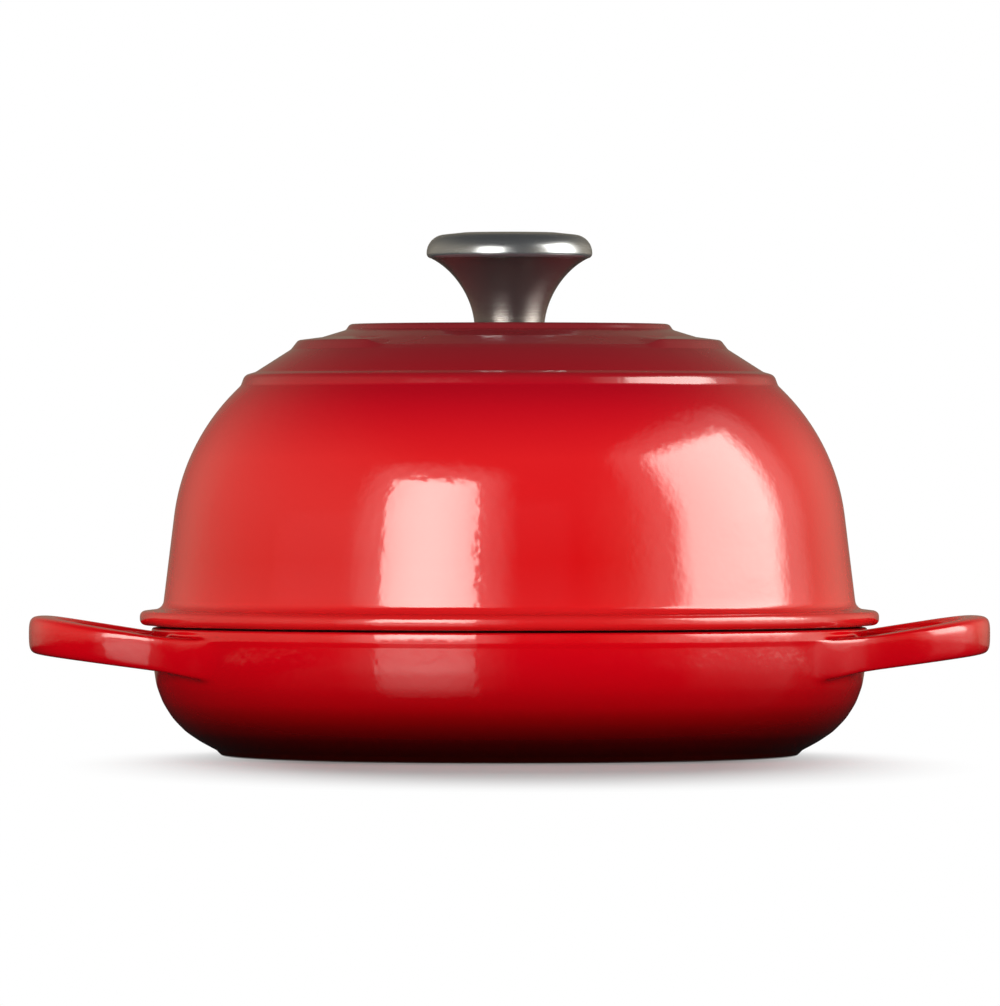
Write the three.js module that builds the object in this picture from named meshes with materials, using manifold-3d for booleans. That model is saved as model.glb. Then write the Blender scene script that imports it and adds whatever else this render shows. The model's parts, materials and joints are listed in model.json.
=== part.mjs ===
// Enamelled cast-iron bread pot: a shallow round pan with two loop handles, a tall domed lid that
// lifts off, and a stainless steel knob held to the lid by a screw from inside.
// Millimetres, +Z up. The origin is on the floor, at the centre of the pan's foot.

import * as THREE from "three";
import { mergeVertices } from "three/addons/utils/BufferGeometryUtils.js";
import Module from "manifold-3d";

const wasm = await Module();
wasm.setup();

// Pan. The pot is sold by the inside diameter of its rim.
const NOMINAL_DIAMETER = 240;
const PAN_HEIGHT = 45;
const RIM_THICKNESS = 5.2;
const RIM_BAND_HEIGHT = 4.6;
const RIM_BAND_PROUD = 0.7;
const RIM_EDGE_ROUND = 1.8;
const PAN_DRAFT = 2.6;
const BELLY_ROUND = 31;
const BELLY_INNER_ROUND = 27;
const BELLY_SLOPE = 28;
const BELLY_WALL = 4.6;
const FLOOR_EDGE_ROUND = 20;
const FOOT_DIAMETER = 201;
const FOOT_HEIGHT = 2;
const FOOT_FLARE = 2;
const FOOT_RING_WIDTH = 12;
const FOOT_RECESS = 1;
const FLOOR_THICKNESS = 4.2;

// Raised rings on the pan's floor, which hold the loaf off the iron.
const RIDGE_COUNT = 4;
const RIDGE_FIRST_RADIUS = 20;
const RIDGE_PITCH = 20;
const RIDGE_WIDTH = 6;
const RIDGE_HEIGHT = 1.6;

// Loop handles, cast in one with the pan at each end of the X axis.
const HANDLE_REACH = 42.7;
const HANDLE_SPAN = 108;
const HANDLE_CENTRE_INSET = 5;
const HANDLE_BAR_WIDTH = 9.6;
const HANDLE_BAR_HEIGHT = 12.4;
const HANDLE_END_HEIGHT = 14;
const HANDLE_ROOT_DROP = 8.6;
const HANDLE_TILT = 8.3;
const OUTER_FILLET_START = 22;
const OUTER_FILLET_RADIUS = 45;
const INNER_FILLET_START = 8;
const INNER_FILLET_RADIUS = 5;
const LOWER_FILLET_START = 5;
const LOWER_FILLET_RADIUS = 40;
const HANDLE_PLAN_SQUARENESS = 2.4;
const HANDLE_SQUARENESS = 3.6;

// Lid: a drafted bell that turns in to a crown with three stepped rings.
const LID_HEIGHT = 105.9;
const LID_WALL = 4;
const LID_DRAFT = 7;
const CROWN_THICKNESS = 5;
const CROWN_INNER_ROUND = 24;
const DOME_ROUND = 74;
const DOME_INNER_ROUND = 72;
const DOME_TOP_SLOPE = 45;
const FLANGE_OVERHANG = 4;
const FLANGE_THICKNESS = 4.5;
const FLANGE_FALL = 1;
const FLANGE_EDGE_ROUND = 2;
const FLANGE_LOWER_ROUND = 1.2;
const NECK_SETBACK = 4;
const NECK_ROUND = 3.5;
const SEAT_RELIEF = 0.8;
const SEAT_CLEARANCE = 0.2;
const LIP_CLEARANCE = 1;
const LIP_THICKNESS = 3;
const LIP_DEPTH = 3.5;

// Rings on the crown, each a flat tread that ends in a low riser.
const TOP_DIAMETER = 111.6;
const TOP_RISER = 2.1;
const TOP_RISER_LEAN = 1.4;
const MIDDLE_RING_DIAMETER = 147.8;
const MIDDLE_RING_DROP = 5.7;
const MIDDLE_RING_TREAD = 8.5;
const MIDDLE_RING_RISER = 3.2;
const MIDDLE_RISER_LEAN = 2.5;
const MIDDLE_RING_RAISED = 1.9;
const OUTER_RING_DIAMETER = 185.2;
const OUTER_RING_DROP = 17.9;
const OUTER_RING_TREAD = 3.8;
const OUTER_RING_RISER = 3.6;
const OUTER_RISER_LEAN = 1.3;
const TREAD_FALL = 1.1;
const RING_EDGE_ROUND = 2;
const RING_HOLLOW_ROUND = 1.6;
// The middle ring is two arcs, which stop at a bare stretch at the front and at the back.
const RING_GAP_HALF_ANGLE = 41;
const RING_END_TAPER = 7.5;

// Knob: a dished cap on a trumpet stem, both pressed from sheet, round a threaded plug.
const KNOB_HEIGHT = 32;
const CAP_DIAMETER = 58;
const CAP_HEIGHT = 9.1;
const CAP_SHEET = 1.4;
const CAP_TOP_ROUND = 6.5;
const CAP_LOWER_ROUND = 1.8;
const CAP_DISH_DIAMETER = 32;
const CAP_DISH_DEPTH = 0.8;
const CAP_EDGE_FALL = 1.4;
const CAP_UNDERCUT = 1.7;
const STEM_FOOT_DIAMETER = 24.6;
const STEM_SHEET = 1.3;
const STEM_FOOT_RISE = 9.8;
const STEM_FOOT_LEAN = 0.9;
const STEM_FLARE_REACH = 7.4;
const STEM_FLARE_FALL = 3.6;
const SHOULDER_WIDTH = 1.4;
const SPIGOT_HEIGHT = 3;
const PLUG_HEIGHT = 12;

// Knob screw, an M6 pan head with a slot, and its washer inside the lid.
const THREAD_DIAMETER = 6;
const THREAD_CLEARANCE = 0.3;
const SCREW_HOLE_CLEARANCE = 0.6;
const SCREW_ENGAGEMENT = 9;
const SCREW_TIP_CHAMFER = 0.7;
const SCREW_HEAD_DIAMETER = 12;
const SCREW_HEAD_HEIGHT = 3.8;
const SCREW_HEAD_ROUND = 2.4;
const SCREW_SLOT_WIDTH = 1.6;
const SCREW_SLOT_DEPTH = 1.8;
const WASHER_DIAMETER = 17;
const WASHER_THICKNESS = 1.4;

// Clearance between pieces that rest on or in each other.
const FIT_GAP = 0.3;
const EDGE_BREAK = 0.8;

// Facets.
const ROUND_SEGMENTS = 48;
const KNOB_SEGMENTS = 32;
const SMALL_SEGMENTS = 24;
const HANDLE_STEPS = 44;
const HANDLE_SIDES = 12;
const HANDLE_SWEEP = 120;
const STEM_STEPS = 6;
const SWEEPING_RADIUS = 25;
const BROAD_RADIUS = 3;
const SMALL_RADIUS = 1.65;

// Sizes that follow from the ones above.
const rimInner = NOMINAL_DIAMETER / 2;
const rimOuter = rimInner + RIM_THICKNESS;
const seatZ = PAN_HEIGHT + SEAT_CLEARANCE;
const crownTop = PAN_HEIGHT + LID_HEIGHT;
const ceiling = crownTop - CROWN_THICKNESS;
const knobFoot = crownTop + FIT_GAP;
const knobTop = crownTop + KNOB_HEIGHT;
const threadRadius = THREAD_DIAMETER / 2;
const holeRadius = threadRadius + SCREW_HOLE_CLEARANCE;
const footRadius = FOOT_DIAMETER / 2;
const footTop = [footRadius + FOOT_FLARE, FOOT_HEIGHT];
const stemFoot = STEM_FOOT_DIAMETER / 2;
const capRadius = CAP_DIAMETER / 2;
const capBottom = knobTop - CAP_HEIGHT;
const shoulderRadius = capRadius - CAP_UNDERCUT;
const spigotRadius = shoulderRadius - SHOULDER_WIDTH;

const radians = THREE.MathUtils.degToRad;

const finish = (color, roughness, metalness) =>
  new THREE.MeshStandardMaterial({ color, roughness, metalness });

// The unit vector [dr, dz] that leans outwards from the vertical by so many degrees, and the one
// that rises outwards from the level.
const lean = (degrees) => [Math.sin(radians(degrees)), Math.cos(radians(degrees))];
const rise = (degrees) => [Math.cos(radians(degrees)), Math.sin(radians(degrees))];

// The point where two lines meet, each given by a point [r, z] and a direction [dr, dz].
function meet([r1, z1], [u1, w1], [r2, z2], [u2, w2]) {
  const along = ((r2 - r1) * w2 - (z2 - z1) * u2) / (u1 * w2 - w1 * u2);
  return [r1 + u1 * along, z1 + w1 * along];
}

// Small rounds get few facets and sweeping ones many.
const arcSteps = (radius) => {
  if (radius > SWEEPING_RADIUS) return 6;
  if (radius > BROAD_RADIUS) return 3;
  return radius > SMALL_RADIUS ? 2 : 1;
};

// Points of an outline with corners [r, z, radius]. A corner with a radius becomes a circular arc,
// written as a rational curve, and shares the straights beside it with its neighbours.
function outline(corners) {
  return corners.flatMap(([r, z, radius = 0], i) => {
    const corner = new THREE.Vector2(r, z);
    if (radius === 0) return [corner];
    const sides = [corners[i - 1], corners[i + 1]].map(([sr, sz, sideRadius = 0]) => {
      const arm = new THREE.Vector2(sr, sz).sub(corner);
      return { arm, room: (arm.length() * radius) / (radius + sideRadius) };
    });
    const half = sides[0].arm.angleTo(sides[1].arm) / 2;
    const reach = Math.min(radius / Math.tan(half), sides[0].room, sides[1].room);
    const [start, end] = sides.map(({ arm }) => corner.clone().add(arm.setLength(reach)));
    return Array.from({ length: arcSteps(radius) + 1 }, (_, k) => {
      const t = k / arcSteps(radius);
      const weights = [(1 - t) ** 2, 2 * t * (1 - t) * Math.sin(half), t ** 2];
      const total = weights[0] + weights[1] + weights[2];
      return new THREE.Vector2()
        .addScaledVector(start, weights[0] / total)
        .addScaledVector(corner, weights[1] / total)
        .addScaledVector(end, weights[2] / total);
    });
  });
}

// A profile of [r, z] points turned about the Z axis, upwards on its outside.
const revolve = (points, segments) =>
  new THREE.LatheGeometry(points, segments).rotateX(Math.PI / 2);

const closed = (points) => [...points, points[0].clone()];

// A closed geometry as a solid for joining and cutting.
function solid(geometry) {
  const bare = new THREE.BufferGeometry();
  bare.setAttribute("position", geometry.getAttribute("position"));
  bare.setIndex(geometry.getIndex());
  const merged = mergeVertices(bare, 1e-4);
  const corners = merged.getIndex().array;
  const triVerts = [];
  for (let i = 0; i < corners.length; i += 3) {
    const [a, b, c] = corners.slice(i, i + 3);
    if (a !== b && b !== c && c !== a) triVerts.push(a, b, c);
  }
  const mesh = new wasm.Mesh({
    numProp: 3,
    vertProperties: new Float32Array(merged.getAttribute("position").array),
    triVerts: new Uint32Array(triVerts),
  });
  return new wasm.Manifold(mesh);
}

function geometryOf(manifold) {
  const { vertProperties, triVerts } = manifold.getMesh();
  const geometry = new THREE.BufferGeometry();
  geometry.setAttribute("position", new THREE.BufferAttribute(vertProperties, 3));
  geometry.setIndex(new THREE.BufferAttribute(triVerts, 1));
  geometry.computeVertexNormals();
  return geometry;
}

// A closed skin over a row of rings of points, with a cap at each end.
function loft(rings) {
  const sides = rings[0].length;
  const middles = [rings[0], rings.at(-1)].map((ring) =>
    ring.reduce((sum, point) => sum.add(point), new THREE.Vector3()).divideScalar(sides),
  );
  const index = [];
  for (let i = 0; i < rings.length - 1; i += 1) {
    for (let k = 0; k < sides; k += 1) {
      const [a, b] = [i * sides + k, i * sides + ((k + 1) % sides)];
      index.push(a, b + sides, b, a, a + sides, b + sides);
    }
  }
  const last = (rings.length - 1) * sides;
  const firstMiddle = rings.length * sides;
  for (let k = 0; k < sides; k += 1) {
    const next = (k + 1) % sides;
    index.push(firstMiddle, k, next, firstMiddle + 1, last + next, last + k);
  }
  const geometry = new THREE.BufferGeometry().setFromPoints([...rings.flat(), ...middles]);
  return geometry.setIndex(index);
}

// Pan

function panOutside() {
  const ringInner = footRadius - FOOT_RING_WIDTH;
  const bandBottom = PAN_HEIGHT - RIM_BAND_HEIGHT;
  const wallTop = [rimOuter - RIM_BAND_PROUD, bandBottom];
  const belly = meet(footTop, rise(BELLY_SLOPE), wallTop, lean(PAN_DRAFT));
  return outline([
    [0, FOOT_RECESS],
    [ringInner - FOOT_RECESS, FOOT_RECESS],
    [ringInner, 0],
    [footRadius, 0],
    footTop,
    [...belly, BELLY_ROUND],
    wallTop,
    [rimOuter, bandBottom + RIM_BAND_PROUD],
    [rimOuter, PAN_HEIGHT, RIM_EDGE_ROUND],
    [0, PAN_HEIGHT],
  ]);
}

function panInside() {
  const floor = FOOT_RECESS + FLOOR_THICKNESS;
  const above = PAN_HEIGHT + RIM_EDGE_ROUND;
  const rimEdge = [rimInner, PAN_HEIGHT - EDGE_BREAK];
  const belly = [footTop[0], footTop[1] + BELLY_WALL / Math.cos(radians(BELLY_SLOPE))];
  const ridges = Array.from({ length: RIDGE_COUNT }, (_, i) => {
    const radius = RIDGE_FIRST_RADIUS + i * RIDGE_PITCH;
    return [
      [radius - RIDGE_WIDTH / 2, floor],
      [radius, floor + RIDGE_HEIGHT],
      [radius + RIDGE_WIDTH / 2, floor],
    ];
  }).flat();
  return outline([
    [0, floor],
    ...ridges,
    [...meet([0, floor], rise(0), belly, rise(BELLY_SLOPE)), FLOOR_EDGE_ROUND],
    [...meet(belly, rise(BELLY_SLOPE), rimEdge, lean(PAN_DRAFT)), BELLY_INNER_ROUND],
    rimEdge,
    [rimInner + EDGE_BREAK, PAN_HEIGHT],
    [rimInner + EDGE_BREAK, above],
    [0, above],
  ]);
}

// How much a fillet that starts on the bar at some distance from the rim widens it nearer the pan.
function filletWidth(clear, start, radius) {
  const share = THREE.MathUtils.clamp((start - clear) / radius, 0, 1);
  return radius * (1 - Math.sqrt(1 - share ** 2));
}

// The bar follows a squarish half-ellipse round the finger hole and runs straight on into the pan's
// wall, whose hollow is cut out afterwards. It rises outwards and widens in fillets near the pan.
function loopHandle() {
  const centre = rimOuter - HANDLE_CENTRE_INSET;
  const reach = HANDLE_REACH + HANDLE_CENTRE_INSET - HANDLE_BAR_WIDTH / 2;
  const halfSpan = HANDLE_SPAN / 2 - HANDLE_BAR_WIDTH / 2;
  const plan = HANDLE_PLAN_SQUARENESS;
  const powered = (value, power) => Math.sign(value) * Math.abs(value) ** power;
  const rings = Array.from({ length: HANDLE_STEPS + 1 }, (_, i) => {
    const angle = radians(HANDLE_SWEEP * ((2 * i) / HANDLE_STEPS - 1));
    const ahead = Math.max(Math.cos(angle), 0);
    const aside = powered(Math.sign(angle) * (1 - ahead ** plan), 1 / plan);
    const middle = new THREE.Vector2(centre + reach * Math.cos(angle), halfSpan * aside);
    const slopes = [ahead ** (plan - 1) / reach, powered(aside, plan - 1) / halfSpan];
    const outward = new THREE.Vector2(...slopes).normalize();
    const clear = middle.length() - rimOuter;
    const outer = filletWidth(clear, OUTER_FILLET_START, OUTER_FILLET_RADIUS);
    const inner = filletWidth(clear, INNER_FILLET_START, INNER_FILLET_RADIUS);
    const lower = filletWidth(clear, LOWER_FILLET_START, LOWER_FILLET_RADIUS);
    const out = middle.x - rimOuter;
    const z = PAN_HEIGHT - HANDLE_ROOT_DROP + out * Math.tan(radians(HANDLE_TILT));
    const share = THREE.MathUtils.clamp(out / HANDLE_REACH, 0, 1);
    const halfHeight = THREE.MathUtils.lerp(HANDLE_BAR_HEIGHT, HANDLE_END_HEIGHT, share) / 2;
    return Array.from({ length: HANDLE_SIDES }, (_, k) => {
      const turn = (2 * Math.PI * k) / HANDLE_SIDES;
      const across = powered(Math.cos(turn), 2 / HANDLE_SQUARENESS);
      const up = powered(Math.sin(turn), 2 / HANDLE_SQUARENESS);
      const halfWidth = HANDLE_BAR_WIDTH / 2 + (across > 0 ? outer : inner);
      const point = middle.clone().addScaledVector(outward, across * halfWidth);
      return new THREE.Vector3(point.x, point.y, z + up * (halfHeight + (up < 0 ? lower : 0)));
    });
  });
  return loft(rings);
}

function basePan() {
  const handle = loopHandle();
  const casting = solid(revolve(panOutside(), ROUND_SEGMENTS))
    .add(solid(handle))
    .add(solid(handle.clone().rotateZ(Math.PI)));
  return geometryOf(casting.subtract(solid(revolve(panInside(), ROUND_SEGMENTS))));
}

// Lid

// The lid's section, with the middle ring raised by a share from 0, where it is bare, to 1.
function lidSection(raised) {
  const topRadius = TOP_DIAMETER / 2;
  const middleRadius = MIDDLE_RING_DIAMETER / 2;
  const outerRadius = OUTER_RING_DIAMETER / 2;
  const middleZ = crownTop - MIDDLE_RING_DROP;
  const outerZ = crownTop - OUTER_RING_DROP;
  const middleFoot = [middleRadius + MIDDLE_RISER_LEAN, middleZ - MIDDLE_RING_RISER];
  const outerTread = [outerRadius - OUTER_RING_TREAD, outerZ + TREAD_FALL];
  const outerFoot = [outerRadius + OUTER_RISER_LEAN, outerZ - OUTER_RING_RISER];

  const flangeRadius = rimOuter + FLANGE_OVERHANG;
  const flangeBottom = seatZ + SEAT_RELIEF;
  const flangeTop = flangeBottom + FLANGE_THICKNESS;
  const neck = [rimOuter - NECK_SETBACK, flangeTop + FLANGE_FALL];
  const shoulder = meet(neck, lean(-LID_DRAFT), outerFoot, rise(-DOME_TOP_SLOPE));

  const seatRadius = rimOuter - RIM_EDGE_ROUND;
  const lipOuter = rimInner - LIP_CLEARANCE;
  const lipInner = lipOuter - LIP_THICKNESS;
  const lipBottom = PAN_HEIGHT - LIP_DEPTH;

  const wallInside = [neck[0] - LID_WALL / Math.cos(radians(LID_DRAFT)), neck[1]];
  const slope = [outerTread[0] - middleFoot[0], outerTread[1] - middleFoot[1]];
  const slopeLength = Math.hypot(...slope);
  const slopeInside = [
    middleFoot[0] + (slope[1] / slopeLength) * LID_WALL,
    middleFoot[1] - (slope[0] / slopeLength) * LID_WALL,
  ];
  const shoulderInside = meet(wallInside, lean(-LID_DRAFT), slopeInside, slope);

  return outline([
    [holeRadius, ceiling],
    [...meet([0, ceiling], rise(0), slopeInside, slope), CROWN_INNER_ROUND],
    [...shoulderInside, DOME_INNER_ROUND],
    meet(wallInside, lean(-LID_DRAFT), [lipInner, 0], [0, 1]),
    [lipInner, lipBottom],
    [lipOuter - EDGE_BREAK, lipBottom],
    [lipOuter, lipBottom + EDGE_BREAK],
    [lipOuter, seatZ],
    [seatRadius, seatZ],
    [seatRadius + SEAT_RELIEF, flangeBottom],
    [flangeRadius, flangeBottom, FLANGE_LOWER_ROUND],
    [flangeRadius, flangeTop, FLANGE_EDGE_ROUND],
    [...neck, NECK_ROUND],
    [...shoulder, DOME_ROUND],
    [...outerFoot, RING_HOLLOW_ROUND],
    [outerRadius, outerZ, RING_EDGE_ROUND],
    outerTread,
    [...middleFoot, RING_HOLLOW_ROUND],
    [middleRadius, middleZ - MIDDLE_RING_RAISED * (1 - raised), RING_EDGE_ROUND],
    [middleRadius - MIDDLE_RING_TREAD, middleZ + TREAD_FALL],
    [topRadius + TOP_RISER_LEAN, crownTop - TOP_RISER, RING_HOLLOW_ROUND],
    [topRadius, crownTop, RING_EDGE_ROUND],
    [holeRadius, crownTop],
  ]);
}

// Degrees from the nearer of the front and the back become the middle ring's share of its height.
function ringShare(turn) {
  const fromAxis = THREE.MathUtils.radToDeg(Math.asin(Math.abs(Math.sin(turn))));
  const start = RING_GAP_HALF_ANGLE - RING_END_TAPER / 2;
  return THREE.MathUtils.clamp((fromAxis - start) / RING_END_TAPER, 0, 1);
}

function domeLid() {
  const ringed = closed(lidSection(1));
  const bare = closed(lidSection(0));
  const geometry = revolve(ringed, ROUND_SEGMENTS);
  const position = geometry.getAttribute("position");
  for (let i = 0; i <= ROUND_SEGMENTS; i += 1) {
    const turn = (2 * Math.PI * i) / ROUND_SEGMENTS;
    ringed.forEach((point, k) => {
      const { x: r, y: z } = bare[k].clone().lerp(point, ringShare(turn));
      position.setXYZ(i * ringed.length + k, r * Math.sin(turn), -r * Math.cos(turn), z);
    });
  }
  return geometry;
}

// Knob

function knobCap() {
  const dish = CAP_DISH_DIAMETER / 2;
  const lipRadius = spigotRadius + FIT_GAP;
  const roof = knobTop - CAP_DISH_DEPTH - CAP_SHEET;
  const inner = capRadius - CAP_SHEET;
  return revolve(
    outline([
      [0, roof],
      [inner, roof, CAP_TOP_ROUND - CAP_SHEET],
      [inner, capBottom + CAP_SHEET],
      [lipRadius, capBottom + CAP_SHEET],
      [lipRadius, capBottom],
      [shoulderRadius, capBottom],
      [capRadius, capBottom + CAP_UNDERCUT / 2, CAP_LOWER_ROUND],
      [capRadius, knobTop - CAP_EDGE_FALL, CAP_TOP_ROUND],
      [dish, knobTop],
      [0, knobTop - CAP_DISH_DEPTH],
    ]),
    KNOB_SEGMENTS,
  );
}

function knobStem() {
  const shoulderZ = capBottom - FIT_GAP;
  const flare = (foot, top) =>
    new THREE.CubicBezierCurve(
      new THREE.Vector2(foot, knobFoot),
      new THREE.Vector2(foot + STEM_FOOT_LEAN, knobFoot + STEM_FOOT_RISE),
      new THREE.Vector2(top.x - STEM_FLARE_REACH, top.y - STEM_FLARE_FALL),
      top,
    ).getPoints(STEM_STEPS);
  const spigotTop = capBottom + SPIGOT_HEIGHT;
  const bore = spigotRadius - STEM_SHEET;
  const outside = flare(stemFoot, new THREE.Vector2(shoulderRadius, shoulderZ));
  const inside = flare(stemFoot - STEM_SHEET, new THREE.Vector2(bore, shoulderZ + STEM_SHEET));
  const spigot = outline([
    [spigotRadius, shoulderZ],
    [spigotRadius, spigotTop],
    [bore, spigotTop],
  ]);
  return revolve(closed([...outside, ...spigot, ...inside.reverse()]), KNOB_SEGMENTS);
}

function knobInsert() {
  const radius = stemFoot - STEM_SHEET - FIT_GAP;
  const bore = threadRadius + THREAD_CLEARANCE;
  const top = knobFoot + PLUG_HEIGHT;
  return revolve(
    closed(
      outline([
        [bore, knobFoot],
        [radius, knobFoot],
        [radius, top - EDGE_BREAK],
        [radius - EDGE_BREAK, top],
        [bore, top],
      ]),
    ),
    SMALL_SEGMENTS,
  );
}

function screwWasher() {
  const top = ceiling - FIT_GAP;
  const bottom = top - WASHER_THICKNESS;
  const bore = threadRadius + THREAD_CLEARANCE;
  const radius = WASHER_DIAMETER / 2;
  return revolve(
    closed(
      outline([
        [bore, bottom],
        [radius, bottom],
        [radius, top],
        [bore, top],
      ]),
    ),
    SMALL_SEGMENTS,
  );
}

function knobScrew() {
  const radius = SCREW_HEAD_DIAMETER / 2;
  const headTop = ceiling - WASHER_THICKNESS - 2 * FIT_GAP;
  const headBottom = headTop - SCREW_HEAD_HEIGHT;
  const tip = knobFoot + SCREW_ENGAGEMENT;
  const body = revolve(
    outline([
      [0, headBottom],
      [radius, headBottom, SCREW_HEAD_ROUND],
      [radius, headTop],
      [threadRadius, headTop],
      [threadRadius, tip - SCREW_TIP_CHAMFER],
      [threadRadius - SCREW_TIP_CHAMFER, tip],
      [0, tip],
    ]),
    SMALL_SEGMENTS,
  );
  const slot = new THREE.BoxGeometry(SCREW_HEAD_DIAMETER * 2, SCREW_SLOT_WIDTH, SCREW_SLOT_DEPTH * 2);
  return geometryOf(solid(body).subtract(solid(slot.translate(0, 0, headBottom))));
}

function piece(name, geometry, material) {
  const mesh = new THREE.Mesh(geometry, material);
  mesh.name = name;
  return mesh;
}

const enamel = () => finish(0xd0101a, 0.12, 0);
const pan = piece("base_pan", basePan(), enamel());

const lid = new THREE.Group();
lid.add(
  piece("dome_lid", domeLid(), enamel()),
  piece("knob_cap", knobCap(), finish(0xb9b6b2, 0.28, 1)),
  piece("knob_stem", knobStem(), finish(0xb9b6b2, 0.2, 1)),
  piece("knob_insert", knobInsert(), finish(0x8f9092, 0.45, 1)),
  piece("knob_screw", knobScrew(), finish(0x9a9b9d, 0.35, 1)),
  piece("screw_washer", screwWasher(), finish(0x9a9b9d, 0.35, 1)),
);

const pot = new THREE.Group();
pot.add(pan, lid);

export default pot;
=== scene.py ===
"""Looks of an enamelled cast-iron bread pot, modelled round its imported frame.

Fine meshes stand for the solids of the pan, the lid and the steel knob, and a small studio lights
them.  Lengths are metres and angles are degrees, unless a name says otherwise.
"""

from __future__ import annotations

import json
import logging
import math
from dataclasses import astuple, dataclass, replace
from enum import Enum
from typing import Any, Callable, Iterator, Sequence

import bmesh
import bpy
from bpy.types import Light, Material, Mesh, Node, NodeSocket, NodeTree, Object
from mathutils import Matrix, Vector

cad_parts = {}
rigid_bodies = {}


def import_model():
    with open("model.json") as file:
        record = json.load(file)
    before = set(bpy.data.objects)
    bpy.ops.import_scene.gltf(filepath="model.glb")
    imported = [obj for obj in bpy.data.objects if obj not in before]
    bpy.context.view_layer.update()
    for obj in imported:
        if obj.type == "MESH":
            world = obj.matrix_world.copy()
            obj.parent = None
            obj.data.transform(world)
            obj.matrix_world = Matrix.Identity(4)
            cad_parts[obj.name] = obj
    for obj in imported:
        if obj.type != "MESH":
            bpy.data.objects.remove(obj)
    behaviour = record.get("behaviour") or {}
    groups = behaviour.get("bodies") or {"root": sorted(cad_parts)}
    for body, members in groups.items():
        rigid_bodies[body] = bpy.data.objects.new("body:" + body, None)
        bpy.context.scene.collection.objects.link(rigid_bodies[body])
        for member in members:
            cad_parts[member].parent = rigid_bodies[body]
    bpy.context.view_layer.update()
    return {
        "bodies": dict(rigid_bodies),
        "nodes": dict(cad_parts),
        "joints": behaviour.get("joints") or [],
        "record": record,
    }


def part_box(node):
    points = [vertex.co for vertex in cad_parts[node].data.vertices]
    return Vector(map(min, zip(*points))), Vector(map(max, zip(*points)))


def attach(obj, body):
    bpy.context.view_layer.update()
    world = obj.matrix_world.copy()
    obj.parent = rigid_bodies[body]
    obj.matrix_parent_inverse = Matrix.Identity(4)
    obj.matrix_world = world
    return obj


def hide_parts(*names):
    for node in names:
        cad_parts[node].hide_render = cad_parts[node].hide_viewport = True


LOG = logging.getLogger("bread_pot")
FLOAT = "NodeSocketFloat"
GLAZE = "glaze"
BARE_SHIFT = "bare_shift"

Colour = tuple[float, float, float, float]
Span = tuple[float, float]
Socket = NodeSocket


def colour(code: int) -> Colour:
    """Turn an sRGB code into linear light.

    Args:
        code: A code such as 0xD0101A.

    Returns:
        Red, green, blue and an alpha of 1.
    """
    channels = [(code >> shift & 0xFF) / 255 for shift in (16, 8, 0)]
    linear = [c / 12.92 if c <= 0.04045 else ((c + 0.055) / 1.055) ** 2.4 for c in channels]
    return (*linear, 1.0)


def smoothstep(value: float) -> float:
    """Return 0 below 0, 1 above 1 and a smooth rise between them."""
    t = min(max(value, 0.0), 1.0)
    return t * t * (3 - 2 * t)


class Coat(float, Enum):
    """Which enamel lies on a stretch of a casting: the colour outside or the matt black inside."""

    COLOUR = 1.0
    EDGE = 0.64
    BLACK = 0.0


# Sections


@dataclass(frozen=True)
class Corner:
    """A corner of a section, with the round that softens it and the enamel that lies on it."""

    radius: float
    height: float
    round: float = 0.0
    coat: Coat = Coat.COLOUR


@dataclass(frozen=True)
class SectionPoint:
    """A point of a section, with its enamel and its shift where a raised ring is left off."""

    radius: float
    height: float
    coat: float = Coat.COLOUR.value
    shift_radius: float = 0.0
    shift_height: float = 0.0

    def towards(self, other: SectionPoint, share: float) -> SectionPoint:
        """Return the point that lies a share of the way to another one."""
        return SectionPoint(*(a + (b - a) * share for a, b in zip(astuple(self), astuple(other))))

    def distance(self, other: SectionPoint) -> float:
        """Return the distance to another point in the section's plane."""
        return math.hypot(other.radius - self.radius, other.height - self.height)


def trace(corners: Sequence[Corner], steps: Callable[[Corner], int]) -> list[SectionPoint]:
    """Draw a section, with each round as a circular arc between its two straights.

    Args:
        corners: The corners in order.
        steps: Gives the number of steps of a corner's arc.

    Returns:
        The points of the section.
    """
    points = []
    for i, corner in enumerate(corners):
        middle = Vector((corner.radius, corner.height))
        if corner.round == 0:
            points.append(SectionPoint(*middle, corner.coat.value))
            continue
        arms, rooms = [], []
        for side in (corners[i - 1], corners[i + 1]):
            arm = Vector((side.radius, side.height)) - middle
            arms.append(arm.normalized())
            rooms.append(arm.length * corner.round / (corner.round + side.round))
        half = arms[0].angle(arms[1]) / 2
        reach = min(corner.round / math.tan(half), *rooms)
        start, end = (middle + arm * reach for arm in arms)
        count = steps(corner)
        for k in range(count + 1):
            t = k / count
            weights = ((1 - t) ** 2, 2 * t * (1 - t) * math.sin(half), t**2)
            spot = sum((w * p for w, p in zip(weights, (start, middle, end))), Vector((0, 0)))
            points.append(SectionPoint(*(spot / sum(weights)), corner.coat.value))
    return points


def space_out(points: Sequence[SectionPoint], spacing: float) -> list[SectionPoint]:
    """Add points along the straights of a section, so that none is longer than the spacing."""
    spaced = [points[0]]
    for start, end in zip(points, points[1:]):
        count = max(1, math.ceil(start.distance(end) / spacing))
        spaced += [start.towards(end, k / count) for k in range(1, count + 1)]
    return spaced


def meet(p: Vector, along_p: Vector, q: Vector, along_q: Vector) -> Vector:
    """Return the point of the section's plane where two lines meet."""
    share = (q - p).cross(along_q) / along_p.cross(along_q)
    return p + along_p * share


def lean(degrees: float) -> Vector:
    """Return the direction that leans outwards from the vertical by so many degrees."""
    return Vector((math.sin(math.radians(degrees)), math.cos(math.radians(degrees))))


def rise(degrees: float) -> Vector:
    """Return the direction that rises outwards from the level by so many degrees."""
    return Vector((math.cos(math.radians(degrees)), math.sin(math.radians(degrees))))


# Node trees


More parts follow.
